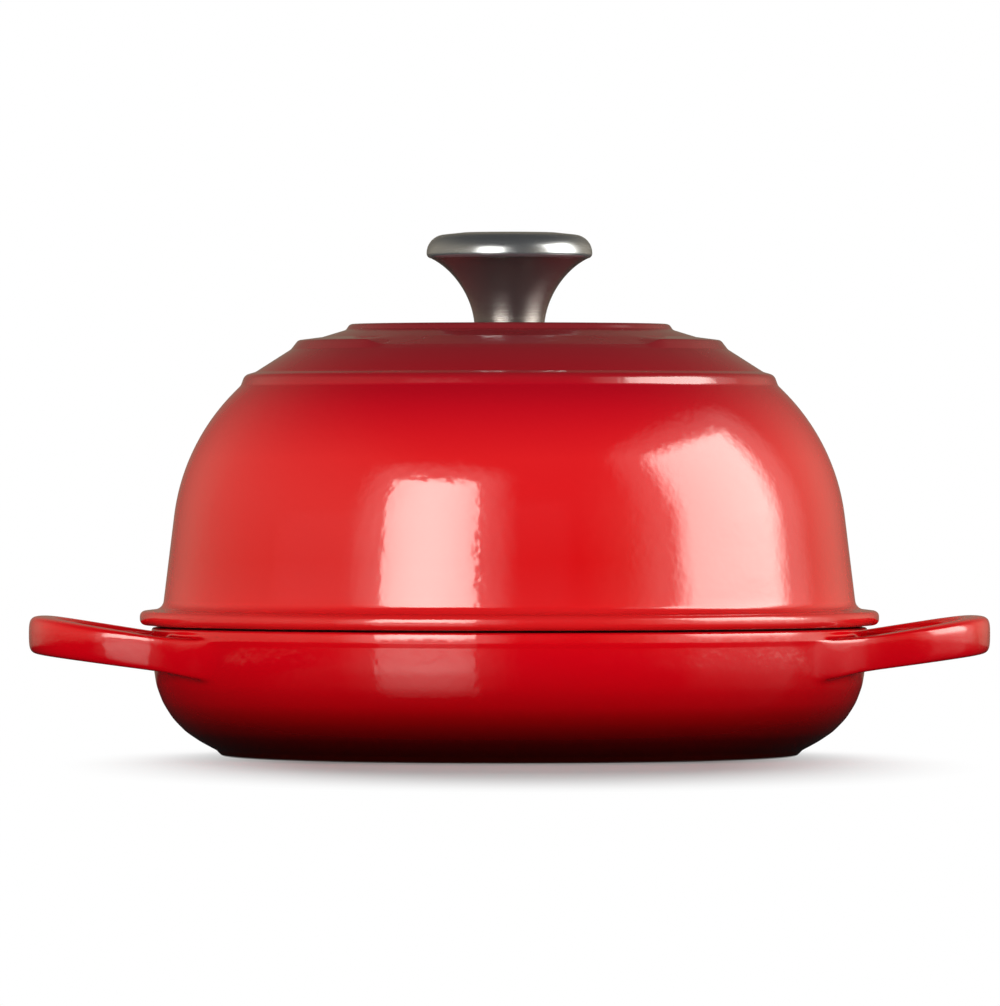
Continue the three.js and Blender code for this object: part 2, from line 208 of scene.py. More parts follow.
class Bench:
    """Places nodes in a tree and links them."""

    NODE_STEP = 180

    def __init__(self, tree: NodeTree) -> None:
        """Keep the tree that the nodes go into."""
        self.tree = tree

    def add(self, kind: str, inputs: dict[str | int, Any] | None = None, **settings: Any) -> Node:
        """Place a node.

        Args:
            kind: The node's type.
            inputs: Values or sockets for the node's inputs, by name or number.
            **settings: The node's own properties.

        Returns:
            The node.
        """
        node = self.tree.nodes.new(kind)
        node.location.x = self.NODE_STEP * len(self.tree.nodes)
        for name, value in settings.items():
            setattr(node, name, value)
        for key, value in (inputs or {}).items():
            if isinstance(value, Socket):
                self.link(value, node.inputs[key])
            else:
                node.inputs[key].default_value = value
        return node

    def finish(self, node: Node) -> None:
        """Send a shader to the material's output."""
        output = next(n for n in self.tree.nodes if n.type == "OUTPUT_MATERIAL")
        self.link(node.outputs[0], output.inputs["Surface"])

    def link(self, start: Socket, end: Socket) -> None:
        """Link two sockets."""
        self.tree.links.new(start, end)

    def maths(self, operation: str, *values: Any) -> Socket:
        """Place a Math node on some values or sockets and return its result."""
        return self.add("ShaderNodeMath", dict(enumerate(values)), operation=operation).outputs[0]

    def vectors(self, operation: str, *values: Any) -> Node:
        """Place a Vector Math node on some values or sockets and return it."""
        return self.add("ShaderNodeVectorMath", dict(enumerate(values)), operation=operation)

    def scaled(self, vector: Any, scale: Any) -> Socket:
        """Return a vector times a number."""
        return self.add("ShaderNodeVectorMath", {0: vector, "Scale": scale}, operation="SCALE").outputs[0]

    def place(self) -> Socket:
        """Return the Object coordinates."""
        return self.add("ShaderNodeTexCoord").outputs["Object"]

    def parts(self, vector: Socket) -> Sequence[Socket]:
        """Return the three parts of a vector."""
        return self.add("ShaderNodeSeparateXYZ", {0: vector}).outputs

    def length(self, vector: Socket) -> Socket:
        """Return the length of a vector."""
        return self.vectors("LENGTH", vector).outputs["Value"]

    def map(
        self, value: Any, start: Any, end: Any, low: float = 0.0, high: float = 1.0, eased: bool = True
    ) -> Socket:
        """Map a value from one range to another.

        Args:
            value: The value.
            start: The value that gives low.
            end: The value that gives high.
            low: The result at the start.
            high: The result at the end.
            eased: Whether the change is eased at both ends.

        Returns:
            The result.
        """
        inputs = {"Value": value, "From Min": start, "From Max": end, "To Min": low, "To Max": high}
        easing = "SMOOTHSTEP" if eased else "LINEAR"
        return self.add("ShaderNodeMapRange", inputs, interpolation_type=easing).outputs["Result"]

    def noise(
        self, place: Socket, scale: Socket, detail: float, roughness: float = 0.5, **settings: Any
    ) -> Socket:
        """Place a Noise Texture and return its value."""
        inputs = {"Vector": place, "Scale": scale, "Detail": detail, "Roughness": roughness}
        return self.add("ShaderNodeTexNoise", inputs, **settings).outputs["Fac"]

    def group(self, tree: NodeTree, inputs: dict[str | int, Any] | None = None) -> Any:
        """Place a shader group with its values and return its outputs."""
        return self.add("ShaderNodeGroup", inputs, node_tree=tree).outputs

    def dress(self, shader: Node, tint: Socket, roughness: Socket, height: Socket, depth: float) -> None:
        """Give a shader its colour, its roughness and bumps of a height and a depth."""
        bump = self.add("ShaderNodeBump", {"Distance": depth, "Height": height})
        sockets = {"Base Color": tint, "Roughness": roughness, "Normal": bump.outputs["Normal"]}
        for name, socket in sockets.items():
            self.link(socket, shader.inputs[name])

    def ramp(self, factor: Socket, stops: Sequence[tuple[float, Colour]]) -> Socket:
        """Place a Color Ramp with the given stops and return its colour."""
        node = self.add("ShaderNodeValToRGB", {"Fac": factor})
        elements = node.color_ramp.elements
        while len(elements) < len(stops):
            elements.new(1.0)
        for element, (place, shade) in zip(elements, stops):
            element.position = place
            element.color = shade
        return node.outputs["Color"]

    def blend(self, factor: Any, first: Any, second: Any) -> Socket:
        """Place a Mix node on two colours and return the mixed colour."""
        node = self.add("ShaderNodeMix", data_type="RGBA")
        colours = [s for s in node.inputs if s.type == "RGBA"]
        for socket, value in zip([node.inputs["Factor"], *colours], (factor, first, second)):
            if isinstance(value, Socket):
                self.link(value, socket)
            else:
                socket.default_value = value
        return next(s for s in node.outputs if s.type == "RGBA")


def named_group(
    name: str, kind: str, inputs: dict[str, tuple[str, Any]], outputs: dict[str, str]
) -> tuple[Bench, Node, Node]:
    """Start a node group with named sockets.

    Args:
        name: The group's name.
        kind: ShaderNodeTree or GeometryNodeTree.
        inputs: The type and default value of each input; a default of None is left alone.
        outputs: The type of each output.

    Returns:
        A bench on the group, its input node and its output node.
    """
    tree = bpy.data.node_groups.new(name, kind)
    for label, (socket_type, default) in inputs.items():
        socket = tree.interface.new_socket(label, in_out="INPUT", socket_type=socket_type)
        if default is not None:
            socket.default_value = default
    for label, socket_type in outputs.items():
        tree.interface.new_socket(label, in_out="OUTPUT", socket_type=socket_type)
    bench = Bench(tree)
    return bench, bench.add("NodeGroupInput"), bench.add("NodeGroupOutput")


class Lathe:
    """Turns sections into meshes with one Geometry Nodes tree."""

    SPINDLE = 0.1
    WELD = 1e-6
    SHARP = 35.0

    def __init__(self) -> None:
        """Build the tree."""
        self.tree = self._tree()

    def _tree(self) -> NodeTree:
        """Build the tree: a section swept round a circle, let down where a ring is broken."""
        bench, given, result = named_group(
            "Turned section",
            "GeometryNodeTree",
            {
                "Section": ("NodeSocketGeometry", None),
                "Segments": ("NodeSocketInt", 96),
                "Spindle": (FLOAT, self.SPINDLE),
                "Break Start": (FLOAT, 0.0),
                "Break End": (FLOAT, 1.0),
                "Finish": ("NodeSocketMaterial", None),
            },
            {"Mesh": "NodeSocketGeometry"},
        )
        inputs = given.outputs
        section = bench.add("GeometryNodeMeshToCurve", {"Mesh": inputs["Section"]})
        sizes = {"Resolution": inputs["Segments"], "Radius": inputs["Spindle"]}
        circle = bench.add("GeometryNodeCurvePrimitiveCircle", sizes)
        curves = {"Curve": circle.outputs["Curve"], "Profile Curve": section.outputs["Curve"]}
        swept = bench.add("GeometryNodeCurveToMesh", curves)
        x, y, _ = bench.parts(bench.add("GeometryNodeInputPosition").outputs[0])
        flat = bench.add("ShaderNodeCombineXYZ", {0: x, 1: y})
        outward = bench.vectors("NORMALIZE", flat.outputs[0]).outputs[0]
        from_front = bench.maths("ARCSINE", bench.maths("ABSOLUTE", bench.parts(outward)[0]))
        bare = bench.map(from_front, inputs["Break Start"], inputs["Break End"], 1.0, 0.0)
        shift = bench.add(
            "GeometryNodeInputNamedAttribute", {"Name": BARE_SHIFT}, data_type="FLOAT_VECTOR"
        )
        shift_out, _, shift_up = bench.parts(shift.outputs["Attribute"])
        upwards = bench.add("ShaderNodeCombineXYZ", {2: shift_up}).outputs[0]
        whole = bench.vectors("ADD", bench.scaled(outward, shift_out), upwards).outputs[0]
        move = {"Geometry": swept.outputs["Mesh"], "Offset": bench.scaled(whole, bare)}
        mesh = bench.add("GeometryNodeSetPosition", move)
        for kind, values in (
            ("GeometryNodeMergeByDistance", {"Distance": self.WELD}),
            ("GeometryNodeSetShadeSmooth", {}),
            ("GeometryNodeRealizeInstances", {}),
            ("GeometryNodeSetMaterial", {"Material": inputs["Finish"]}),
        ):
            mesh = bench.add(kind, {"Geometry": mesh.outputs[0], **values})
        bench.link(mesh.outputs[0], result.inputs["Mesh"])
        return bench.tree

    def turn(
        self,
        name: str,
        points: Sequence[SectionPoint],
        segments: int,
        finish: Material,
        ring_break: Span = (0.0, 1.0),
    ) -> Object:
        """Turn a section about the Z axis.

        Args:
            name: The new object's name.
            points: The section, drawn upwards on its outside.
            segments: The number of steps round the axis.
            finish: The material.
            ring_break: Angles from the front and the back between which a broken ring rises.

        Returns:
            An object with a plain mesh.
        """
        outline = list(reversed(points))
        mesh = bpy.data.meshes.new(name)
        mesh.from_pydata(
            [(p.radius - self.SPINDLE, -p.height, 0.0) for p in outline],
            [(i, i + 1) for i in range(len(outline) - 1)],
            [],
        )
        coats = mesh.attributes.new(GLAZE, "FLOAT", "POINT")
        coats.data.foreach_set("value", [p.coat for p in outline])
        shifts = mesh.attributes.new(BARE_SHIFT, "FLOAT_VECTOR", "POINT")
        moves = [v for p in outline for v in (p.shift_radius, 0.0, p.shift_height)]
        shifts.data.foreach_set("vector", moves)
        obj = add_object(name, mesh)
        modifier = obj.modifiers.new("Turned section", "NODES")
        modifier.node_group = self.tree
        values = {
            "Segments": segments,
            "Spindle": self.SPINDLE,
            "Break Start": math.radians(ring_break[0]),
            "Break End": math.radians(ring_break[1]),
            "Finish": finish,
        }
        for item in self.tree.interface.items_tree:
            if item.in_out == "INPUT" and item.name in values:
                modifier[item.identifier] = values[item.name]
        make_plain(obj)
        obj.data.set_sharp_from_angle(angle=math.radians(self.SHARP))
        return obj


def add_object(name: str, data: Any) -> Object:
    """Put a new object with a mesh, a lamp or a camera into the scene."""
    obj = bpy.data.objects.new(name, data)
    bpy.context.scene.collection.objects.link(obj)
    return obj


def rectangle(name: str, across: Span, along: Span, height: float = 0.0) -> Mesh:
    """Make a flat mesh of one face.

    Args:
        name: The mesh's name.
        across: Where it starts and ends on X.
        along: Where it starts and ends on Y.
        height: Its place on Z.

    Returns:
        The mesh.
    """
    (left, right), (low, high) = across, along
    corners = [(left, low), (right, low), (right, high), (left, high)]
    mesh = bpy.data.meshes.new(name)
    mesh.from_pydata([(x, y, height) for x, y in corners], [], [(0, 1, 2, 3)])
    return mesh


def make_plain(obj: Object) -> None:
    """Replace an object's mesh by what its modifiers make of it, and remove them."""
    graph = bpy.context.evaluated_depsgraph_get()
    graph.update()
    old = obj.data
    new = bpy.data.meshes.new_from_object(obj.evaluated_get(graph))
    obj.modifiers.clear()
    obj.data = new
    bpy.data.meshes.remove(old)
    new.name = obj.name


def fit(obj: Object, body: str, node: str) -> Object:
    """Let a piece stand for a solid of the frame and ride on its body.

    Args:
        obj: The piece.
        body: The body that carries it.
        node: The solid that it stands for.

    Returns:
        The piece.
    """
    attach(obj, body)
    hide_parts(node)
    LOG.info("%s: %d faces on %s", obj.name, len(obj.data.polygons), body)
    return obj


# Finishes


class Effects:
    """Shader groups that several finishes share."""

    FINE_WAVES = 4.5
    EDGE_SPAN = (0.44, 0.56)

    def __init__(self) -> None:
        """Build the groups."""
        self.ripple = self._ripple()
        self.edge = self._edge()
        self.turning = self._turning()

    def _ripple(self) -> NodeTree:
        """Build the soft waves that the sand mould leaves under the enamel."""
        bench, given, result = named_group(
            "Cast ripple",
            "ShaderNodeTree",
            {"Waves per Metre": (FLOAT, 80.0), "Peel": (FLOAT, 0.2)},
            {"Height": FLOAT},
        )
        place, waves = bench.place(), given.outputs["Waves per Metre"]
        broad = bench.noise(place, waves, detail=1.0, roughness=0.4)
        fine = bench.noise(place, bench.maths("MULTIPLY", waves, self.FINE_WAVES), detail=1.0)
        peel = bench.maths("MULTIPLY", fine, given.outputs["Peel"])
        bench.link(bench.maths("ADD", broad, peel), result.inputs["Height"])
        return bench.tree

    def _edge(self) -> NodeTree:
        """Build the ragged line where the coloured enamel gives way to the black one."""
        bench, given, result = named_group(
            "Enamel edge",
            "ShaderNodeTree",
            {"Specks per Metre": (FLOAT, 700.0), "Ragged": (FLOAT, 0.45)},
            {"Colour Share": FLOAT},
        )
        coat = bench.add("ShaderNodeAttribute", attribute_name=GLAZE).outputs["Fac"]
        specks = bench.noise(bench.place(), given.outputs["Specks per Metre"], detail=2.0)
        swing = bench.maths("SUBTRACT", specks, 0.5)
        ragged = bench.maths("MULTIPLY_ADD", swing, given.outputs["Ragged"], coat)
        bench.link(bench.map(ragged, *self.EDGE_SPAN), result.inputs["Colour Share"])
        return bench.tree

    def _turning(self) -> NodeTree:
        """Build the fine rings that a lathe or a brush leaves on turned steel."""
        bench, given, result = named_group(
            "Turning lines", "ShaderNodeTree", {"Lines per Metre": (FLOAT, 9000.0)}, {"Height": FLOAT}
        )
        x, y, z = bench.parts(bench.place())
        across = bench.add("ShaderNodeCombineXYZ", {0: x, 1: y})
        rings = bench.add("ShaderNodeCombineXYZ", {0: bench.length(across.outputs[0]), 1: z})
        lines = given.outputs["Lines per Metre"]
        height = bench.noise(rings.outputs[0], lines, detail=2.0, noise_dimensions="2D")
        bench.link(height, result.inputs["Height"])
        return bench.tree


def new_material(name: str) -> tuple[Material, Bench, Node]:
    """Start a material and return it, a bench on its nodes and its shader."""
    material = bpy.data.materials.new(name)
    material.use_nodes = True
    nodes = material.node_tree.nodes
    return material, Bench(material.node_tree), next(n for n in nodes if n.type == "BSDF_PRINCIPLED")


def stage_material(name: str) -> tuple[Material, Bench]:
    """Start a material with no shader and return it with a bench on its nodes."""
    material, bench, shader = new_material(name)
    bench.tree.nodes.remove(shader)
    return material, bench


@dataclass(frozen=True)
class EnamelFinish:
    """Glossy coloured enamel, coloured by height, with matt black enamel inside.

    Each entry is a height and the colour code there: the enamel's own tone, with painted shade, painted
    light and painted reflection tuned into it.
    """

    name: str
    tones_with_painted_light: tuple[tuple[float, int], ...]
    black_code: int = 0x141313
    gloss: float = 0.08
    black_gloss: float = 0.42
    waves_per_metre: float = 70.0
    peel: float = 0.5
    wave_depth: float = 0.0001

    def material(self, effects: Effects) -> Material:
        """Build the material from the shared effects."""
        material, bench, shader = new_material(self.name)
        share = bench.group(effects.edge)["Colour Share"]
        # The height ramp mixes the enamel's own tone with painted shade, painted light and painted
        # reflection.
        low, high = self.tones_with_painted_light[0][0], self.tones_with_painted_light[-1][0]
        level = bench.map(bench.parts(bench.place())[2], low, high, eased=False)
        stops = [((height - low) / (high - low), colour(code)) for height, code in self.tones_with_painted_light]
        tint = bench.blend(share, colour(self.black_code), bench.ramp(level, stops))
        roughness = bench.map(share, 0.0, 1.0, self.black_gloss, self.gloss, eased=False)
        waves = {"Waves per Metre": self.waves_per_metre, "Peel": self.peel}
        height = bench.group(effects.ripple, waves)["Height"]
        bench.dress(shader, tint, roughness, height, self.wave_depth)
        return material


@dataclass(frozen=True)
class SteelFinish:
    """Stainless steel with fine turning lines, brighter and rougher on their crests."""

    name: str
    code: int
    gloss: float
    metal: float
    lines_per_metre: float = 9000.0
    line_depth: float = 0.000002
    line_shine: float = 1.12
    line_spread: float = 0.15

    def material(self, effects: Effects) -> Material:
        """Build the material from the shared effects."""
        material, bench, shader = new_material(self.name)
        shader.inputs["Metallic"].default_value = self.metal
        height = bench.group(effects.turning, {"Lines per Metre": self.lines_per_metre})["Height"]
        dull = colour(self.code)
        bright = tuple(min(1.0, self.line_shine * c) for c in dull[:3]) + (1.0,)
        low, high = (self.gloss * (1 + sign * self.line_spread) for sign in (-1, 1))
        roughness = bench.map(height, 0.0, 1.0, low, high, eased=False)
        bench.dress(shader, bench.blend(height, dull, bright), roughness, height, self.line_depth)
        return material


# The pot


LARGE_ROUND = 0.02
SMALL_ROUND = 0.01


def fine_steps(corner: Corner) -> int:
    """Return the steps of an arc on a turned piece."""
    return 24 if corner.round > LARGE_ROUND else 8


def cage_steps(corner: Corner) -> int:
    """Return the steps of an arc on a cage that is subdivided later, fewest on small rounds inside."""
    if corner.round > LARGE_ROUND:
        return 5
    return 1 if corner.coat is Coat.BLACK and corner.round < SMALL_ROUND else 2


def crowded(count: int, crowding: float) -> list[float]:
    """Return places from -1 to 1 that lie closer together towards both ends.

    Args:
        count: The number of steps between them.
        crowding: 0 for even steps; at 0.5 the end steps shrink to nothing.

    Returns:
        The places, both ends included.
    """
    even = [2 * i / count - 1 for i in range(count + 1)]
    return [t + crowding * (t - t**3) for t in even]


@dataclass(frozen=True)
class Fillet:
    """A fillet at a handle's root: how far clear of the rim it starts and ends, and its radius."""

    start: float
    end: float
    radius: float

    def at(self, clear: float) -> float:
        """Return what the fillet adds where the bar's middle is so far clear of the rim."""
        share = min(max((self.start - clear) / self.radius, 0.0), 1.0)
        return self.radius * (1 - math.sqrt(1 - share * share))


def powered(value: float, power: float) -> float:
    """Raise a number to a power and keep its sign."""
    return math.copysign(abs(value) ** power, value)


@dataclass
class LoopHandle:
    """A cast loop at one end of the pan, swept along a squarish half-ellipse.

    The bar's section is a superellipse that is squarer at the roots and leans a little on its outer
    side, and a fillet on each of its four sides widens it towards the wall.
    """

    HALVINGS = 40

    rim: float
    pan_height: float
    reach: float = 0.0427
    span: float = 0.108
    centre_inset: float = 0.005
    bar_width: float = 0.0096
    bar_height: float = 0.0117
    end_height: float = 0.0132
    root_drop: float = 0.0082
    tilt: float = 8.3
    squareness: float = 3.6
    root_squareness: float = 10.0
    lean: float = 0.08
    lean_pivot: float = 0.6
    plan_squareness: float = 2.65
    outer: Fillet = Fillet(0.0195, -0.0055, 0.03)
    inner: Fillet = Fillet(0.008, 0.0033, 0.005)
    lower: Fillet = Fillet(0.005, -0.009, 0.04)
    upper: Fillet = Fillet(0.012, -0.009, 0.1)
    skew_length: float = 0.03
    steps: int = 38
    crowding: float = 0.1
    cage_growth: float = 1.03

    def __post_init__(self) -> None:
        """Work out the ellipse and the place where the bar's middle meets the rim."""
        self.long = self.reach + self.centre_inset - self.bar_width / 2
        self.half_span = (self.span - self.bar_width) / 2
        self.root_angle = self.angle_at(0.0)

    def _plan(self, angle: float) -> tuple[float, float]:
        """Return where an angle, in radians, lies on the ellipse when both its axes are 1."""
        ahead = max(math.cos(angle), 0.0)
        beside = (1 - ahead**self.plan_squareness) ** (1 / self.plan_squareness)
        return ahead, math.copysign(beside, angle)

    def middle(self, angle: float) -> Vector:
        """Return the bar's middle at an angle, in radians, on its ellipse."""
        across = self.rim - self.centre_inset + self.long * math.cos(angle)
        return Vector((across, self.half_span * self._plan(angle)[1]))

    def outward(self, angle: float) -> Vector:
        """Return the direction away from the finger hole at an angle on the ellipse."""
        ahead, beside = (powered(v, self.plan_squareness - 1) for v in self._plan(angle))
        return Vector((ahead / self.long, beside / self.half_span)).normalized()

    def angle_at(self, clear: float) -> float:
        """Return the angle on the back half of the ellipse where the bar is so far clear of the rim."""
        low, high = 0.0, math.pi
        for _ in range(self.HALVINGS):
            angle = (low + high) / 2
            outside = self.middle(angle).length - self.rim > clear
            low, high = (angle, high) if outside else (low, angle)
        return low

    def section(self, share: float, spots: Sequence[Vector]) -> list[Vector]:
        """Place the bar's section, skewed near the pan to lie along the wall.

        Args:
            share: From -1 at the front root to 1 at the back root.
            spots: Points on the edge of a square from -1 to 1, across and up.

        Returns:
            A point of the bar's surface for each spot.
        """
        angle = share * self.root_angle
        clear = self.middle(angle).length - self.rim
        skew = 1 - smoothstep(clear / self.skew_length)
        power = 2 / (self.squareness + (self.root_squareness - self.squareness) * skew)
        points = []
        for spot in spots:
            turn = math.atan2(spot.y, spot.x)
            across, up = (powered(v, power) for v in (math.cos(turn), math.sin(turn)))
            end = self.inner.end + (self.outer.end - self.inner.end) * (across + 1) / 2
            here = clear + end * skew
            local = math.copysign(self.angle_at(here), share) if skew > 0 else angle
            points.append(self._surface(local, here, across, up))
        return points

    def _surface(self, angle: float, clear: float, across: float, up: float) -> Vector:
        """Return a point of the bar's surface.

        Args:
            angle: The angle on the ellipse, in radians.
            clear: How far the bar's middle is clear of the rim there.
            across: From -1 beside the finger hole to 1 on the other side.
            up: From -1 below to 1 above.

        Returns:
            The point, on the +X side.
        """
        middle, outward = self.middle(angle), self.outward(angle)
        out = middle.x - self.rim
        height = self.pan_height - self.root_drop + out * math.tan(math.radians(self.tilt))
        share = min(max(out / self.reach, 0.0), 1.0)
        bar_height = self.bar_height + (self.end_height - self.bar_height) * share
        half_height = bar_height / 2 * self.cage_growth
        half_width = self.bar_width / 2 * self.cage_growth
        half_width += (self.outer if across > 0 else self.inner).at(clear)
        half_height += (self.upper if up > 0 else self.lower).at(clear)
        leaning = self.lean * abs(outward.y) * (up - self.lean_pivot) * max(across, 0.0)
        flat = middle + outward * (across * half_width + leaning * half_height)
        return Vector((flat.x, flat.y, height + up * half_height))


@dataclass
class EnamelledPan:
    """The shallow pan with its two loop handles, one casting."""

    rim_thickness: float = 0.0052
    band_height: float = 0.0046
    band_proud: float = 0.0004
    band_slope: float = 0.0016
    band_round: float = 0.002
    rim_round: float = 0.001
    draft: float = 2.6
    belly_round: float = 0.031
    belly_inner_round: float = 0.027
    belly_slope: float = 28.0
    belly_wall: float = 0.0046
    floor_edge_round: float = 0.020
    foot_diameter: float = 0.201
    foot_height: float = 0.002
    foot_flare: float = 0.002
    foot_ring_width: float = 0.012
    foot_recess: float = 0.001
    floor_thickness: float = 0.0042
    edge_round: float = 0.0006
    ridge_count: int = 4
    ridge_first_radius: float = 0.020
    ridge_pitch: float = 0.020
    ridge_width: float = 0.006
    ridge_height: float = 0.0016
    ridge_round: float = 0.0015
    lip_depth: float = 0.0035
    wall_spacing: float = 0.0055
    plain_spacing: float = 0.02
    column_spacing: float = 8.4
    crowding: float = 0.25
    root_columns: int = 5
    subdivisions: int = 2

    def __post_init__(self) -> None:
        """Take the rim's radius and height from the frame."""
        self.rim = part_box("base_pan")[1].y
        self.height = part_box("dome_lid")[0].z + self.lip_depth
        self.handle = LoopHandle(self.rim, self.height)
        points = trace(self.corners(), cage_steps)
        wall = [i for i, point in enumerate(points) if self._is_wall(point)]
        first, last = wall[0], wall[-1]
        self.rows = [
            *space_out(points[: first + 1], self.plain_spacing),
            *space_out(points[first : last + 1], self.wall_spacing)[1:],
            *space_out(points[last:], self.plain_spacing)[1:],
        ]

    def _is_wall(self, point: SectionPoint) -> bool:
        """Tell whether a point of the section lies on the outer wall."""
        return point.radius > self.foot_diameter / 2 and point.coat > 0

    def corners(self) -> list[Corner]:
        """Return the section's corners, from under the floor round the rim to the floor's middle."""
        foot = self.foot_diameter / 2
        ring_inner = foot - self.foot_ring_width
        band_bottom = self.height - self.band_height
        foot_top = Vector((foot + self.foot_flare, self.foot_height))
        wall_top = Vector((self.rim - self.band_proud, band_bottom - self.band_slope / 2))
        belly = meet(foot_top, rise(self.belly_slope), wall_top, lean(self.draft))
        inner = self.rim - self.rim_thickness
        floor = self.foot_recess + self.floor_thickness
        rim_edge = Vector((inner, self.height - self.edge_round))
        lift = self.belly_wall / math.cos(math.radians(self.belly_slope))
        belly_inside = foot_top + Vector((0, lift))
        wall_foot = meet(belly_inside, rise(self.belly_slope), rim_edge, lean(self.draft))
        floor_edge = meet(Vector((0, floor)), rise(0), belly_inside, rise(self.belly_slope))
        outside = [
            Corner(0, self.foot_recess),
            Corner(ring_inner - self.foot_recess, self.foot_recess, self.edge_round),
            Corner(ring_inner, 0, self.edge_round),
            Corner(foot, 0, self.edge_round),
            Corner(*foot_top, self.edge_round),
            Corner(*belly, self.belly_round),
            Corner(*wall_top, self.band_round),
            Corner(self.rim, band_bottom + self.band_slope / 2, self.band_round),
            Corner(self.rim, self.height, self.rim_round),
        ]
        inside = [
            Corner(inner + self.edge_round, self.height, self.edge_round),
            Corner(inner, self.height - self.edge_round, self.edge_round),
            Corner(*wall_foot, self.belly_inner_round),
            Corner(*floor_edge, self.floor_edge_round),
            *self._ridges(floor),
            Corner(0, floor),
        ]
        return outside + [replace(corner, coat=Coat.BLACK) for corner in inside]

    def _ridges(self, floor: float) -> Iterator[Corner]:
        """Give the corners of the floor's raised rings, from the outermost inwards."""
        for i in reversed(range(self.ridge_count)):
            radius = self.ridge_first_radius + i * self.ridge_pitch
            yield Corner(radius + self.ridge_width / 2, floor, self.ridge_round)
            yield Corner(radius, floor + self.ridge_height, self.ridge_round)
            yield Corner(radius - self.ridge_width / 2, floor, self.ridge_round)

    def build(self, finish: Material) -> Object:
        """Build the casting as a quad cage, handles and all, and subdivide it."""
        rows = self.rows
        frame = bmesh.new()
        coat = frame.verts.layers.float.new(GLAZE)
        columns, roots = self._columns()
        spokes = self._spokes(columns)
        low, high = self._root_rows(rows)
        count = len(columns)
        grid = []
        for row in rows:
            at_pole = row.radius == 0
            places = [row.radius * spoke for spoke in spokes[: 1 if at_pole else count]]
            ring = [frame.verts.new((*place, row.height)) for place in places]
            for vertex in ring:
                vertex[coat] = row.coat
            grid.append(ring * count if at_pole else ring)
        for i in range(len(rows) - 1):
            for j in range(count):
                k = (j + 1) % count
                at_root = any(start <= j < start + self.root_columns for start in roots)
                if at_root and low <= i < high:
                    continue
                corners = [grid[i][j], grid[i][k], grid[i + 1][k], grid[i + 1][j]]
                frame.faces.new(list(dict.fromkeys(corners)))
        for side in (1, -1):
            self._add_handle(frame, coat, grid, rows[low : high + 1], low, roots, columns, side)
        bmesh.ops.delete(frame, geom=[v for v in frame.verts if not v.link_faces], context="VERTS")
        bmesh.ops.recalc_face_normals(frame, faces=frame.faces)
        for face in frame.faces:
            face.smooth = True
        mesh = bpy.data.meshes.new("enamelled_pan")
        frame.to_mesh(mesh)
        frame.free()
        mesh.materials.append(finish)
        pan = add_object("enamelled_pan", mesh)
        smooth = pan.modifiers.new("Smooth", "SUBSURF")
        smooth.levels = smooth.render_levels = self.subdivisions
        make_plain(pan)
        return fit(pan, "base", "base_pan")

    def _root_span(self) -> Span:
        """Return the angles from the X axis between which the back root of the +X handle lies."""
        edges = self.handle.section(1.0, (Vector((-1, 0)), Vector((1, 0))))
        points = (self._on_wall(point, 1) for point in edges)
        return tuple(math.degrees(math.atan2(point.y, point.x)) for point in points)

    def _columns(self) -> tuple[list[float], list[int]]:
        """Choose the angles of the cage's columns.

        Returns:
            The angles, and the number of the first column of each of the four roots, in the order
            of their angles.
        """
        inner, outer = self._root_span()
        spans = [
            (inner, outer),
            (180 - outer, 180 - inner),
            (180 + inner, 180 + outer),
            (360 - outer, 360 - inner),
        ]
        columns: list[float] = []
        roots = []
        for i, (start, end) in enumerate(spans):
            roots.append(len(columns))
            step = (end - start) / self.root_columns
            columns += [start + step * k for k in range(self.root_columns)]
            next_start = spans[(i + 1) % 4][0] + (360 if i == 3 else 0)
            count = max(2, round((next_start - end) / self.column_spacing))
            half = (next_start - end) / 2
            columns += [end + half * (1 + place) for place in crowded(count, self.crowding)[:-1]]
        return columns, roots

    @staticmethod
    def _spokes(columns: Sequence[float]) -> list[Vector]:
        """Return each column's direction, long enough for the smoothed rows to keep their radius.

        Smoothing makes a corner of a row four parts itself and one part each of its neighbours.
        """
        spokes = []
        for i, angle in enumerate(columns):
            turns = (columns[i - 1] - angle, columns[(i + 1) % len(columns)] - angle)
            length = 6 / (4 + sum(math.cos(math.radians(turn)) for turn in turns))
            spokes.append(rise(angle) * length)
        return spokes

    def _root_rows(self, rows: Sequence[SectionPoint]) -> tuple[int, int]:
        """Return the numbers of the lowest and the highest row of a root on the outer wall."""
        handle = self.handle
        middle = self.height - handle.root_drop
        wall = [i for i, row in enumerate(rows) if self._is_wall(row)]

        def nearest(height: float) -> int:
            """Return the number of the wall's row that lies nearest to a height."""
            return min(wall, key=lambda i: abs(rows[i].height - height))

        low = nearest(middle - handle.bar_height / 2 - handle.lower.at(handle.lower.end))
        return low, nearest(middle + handle.bar_height / 2)

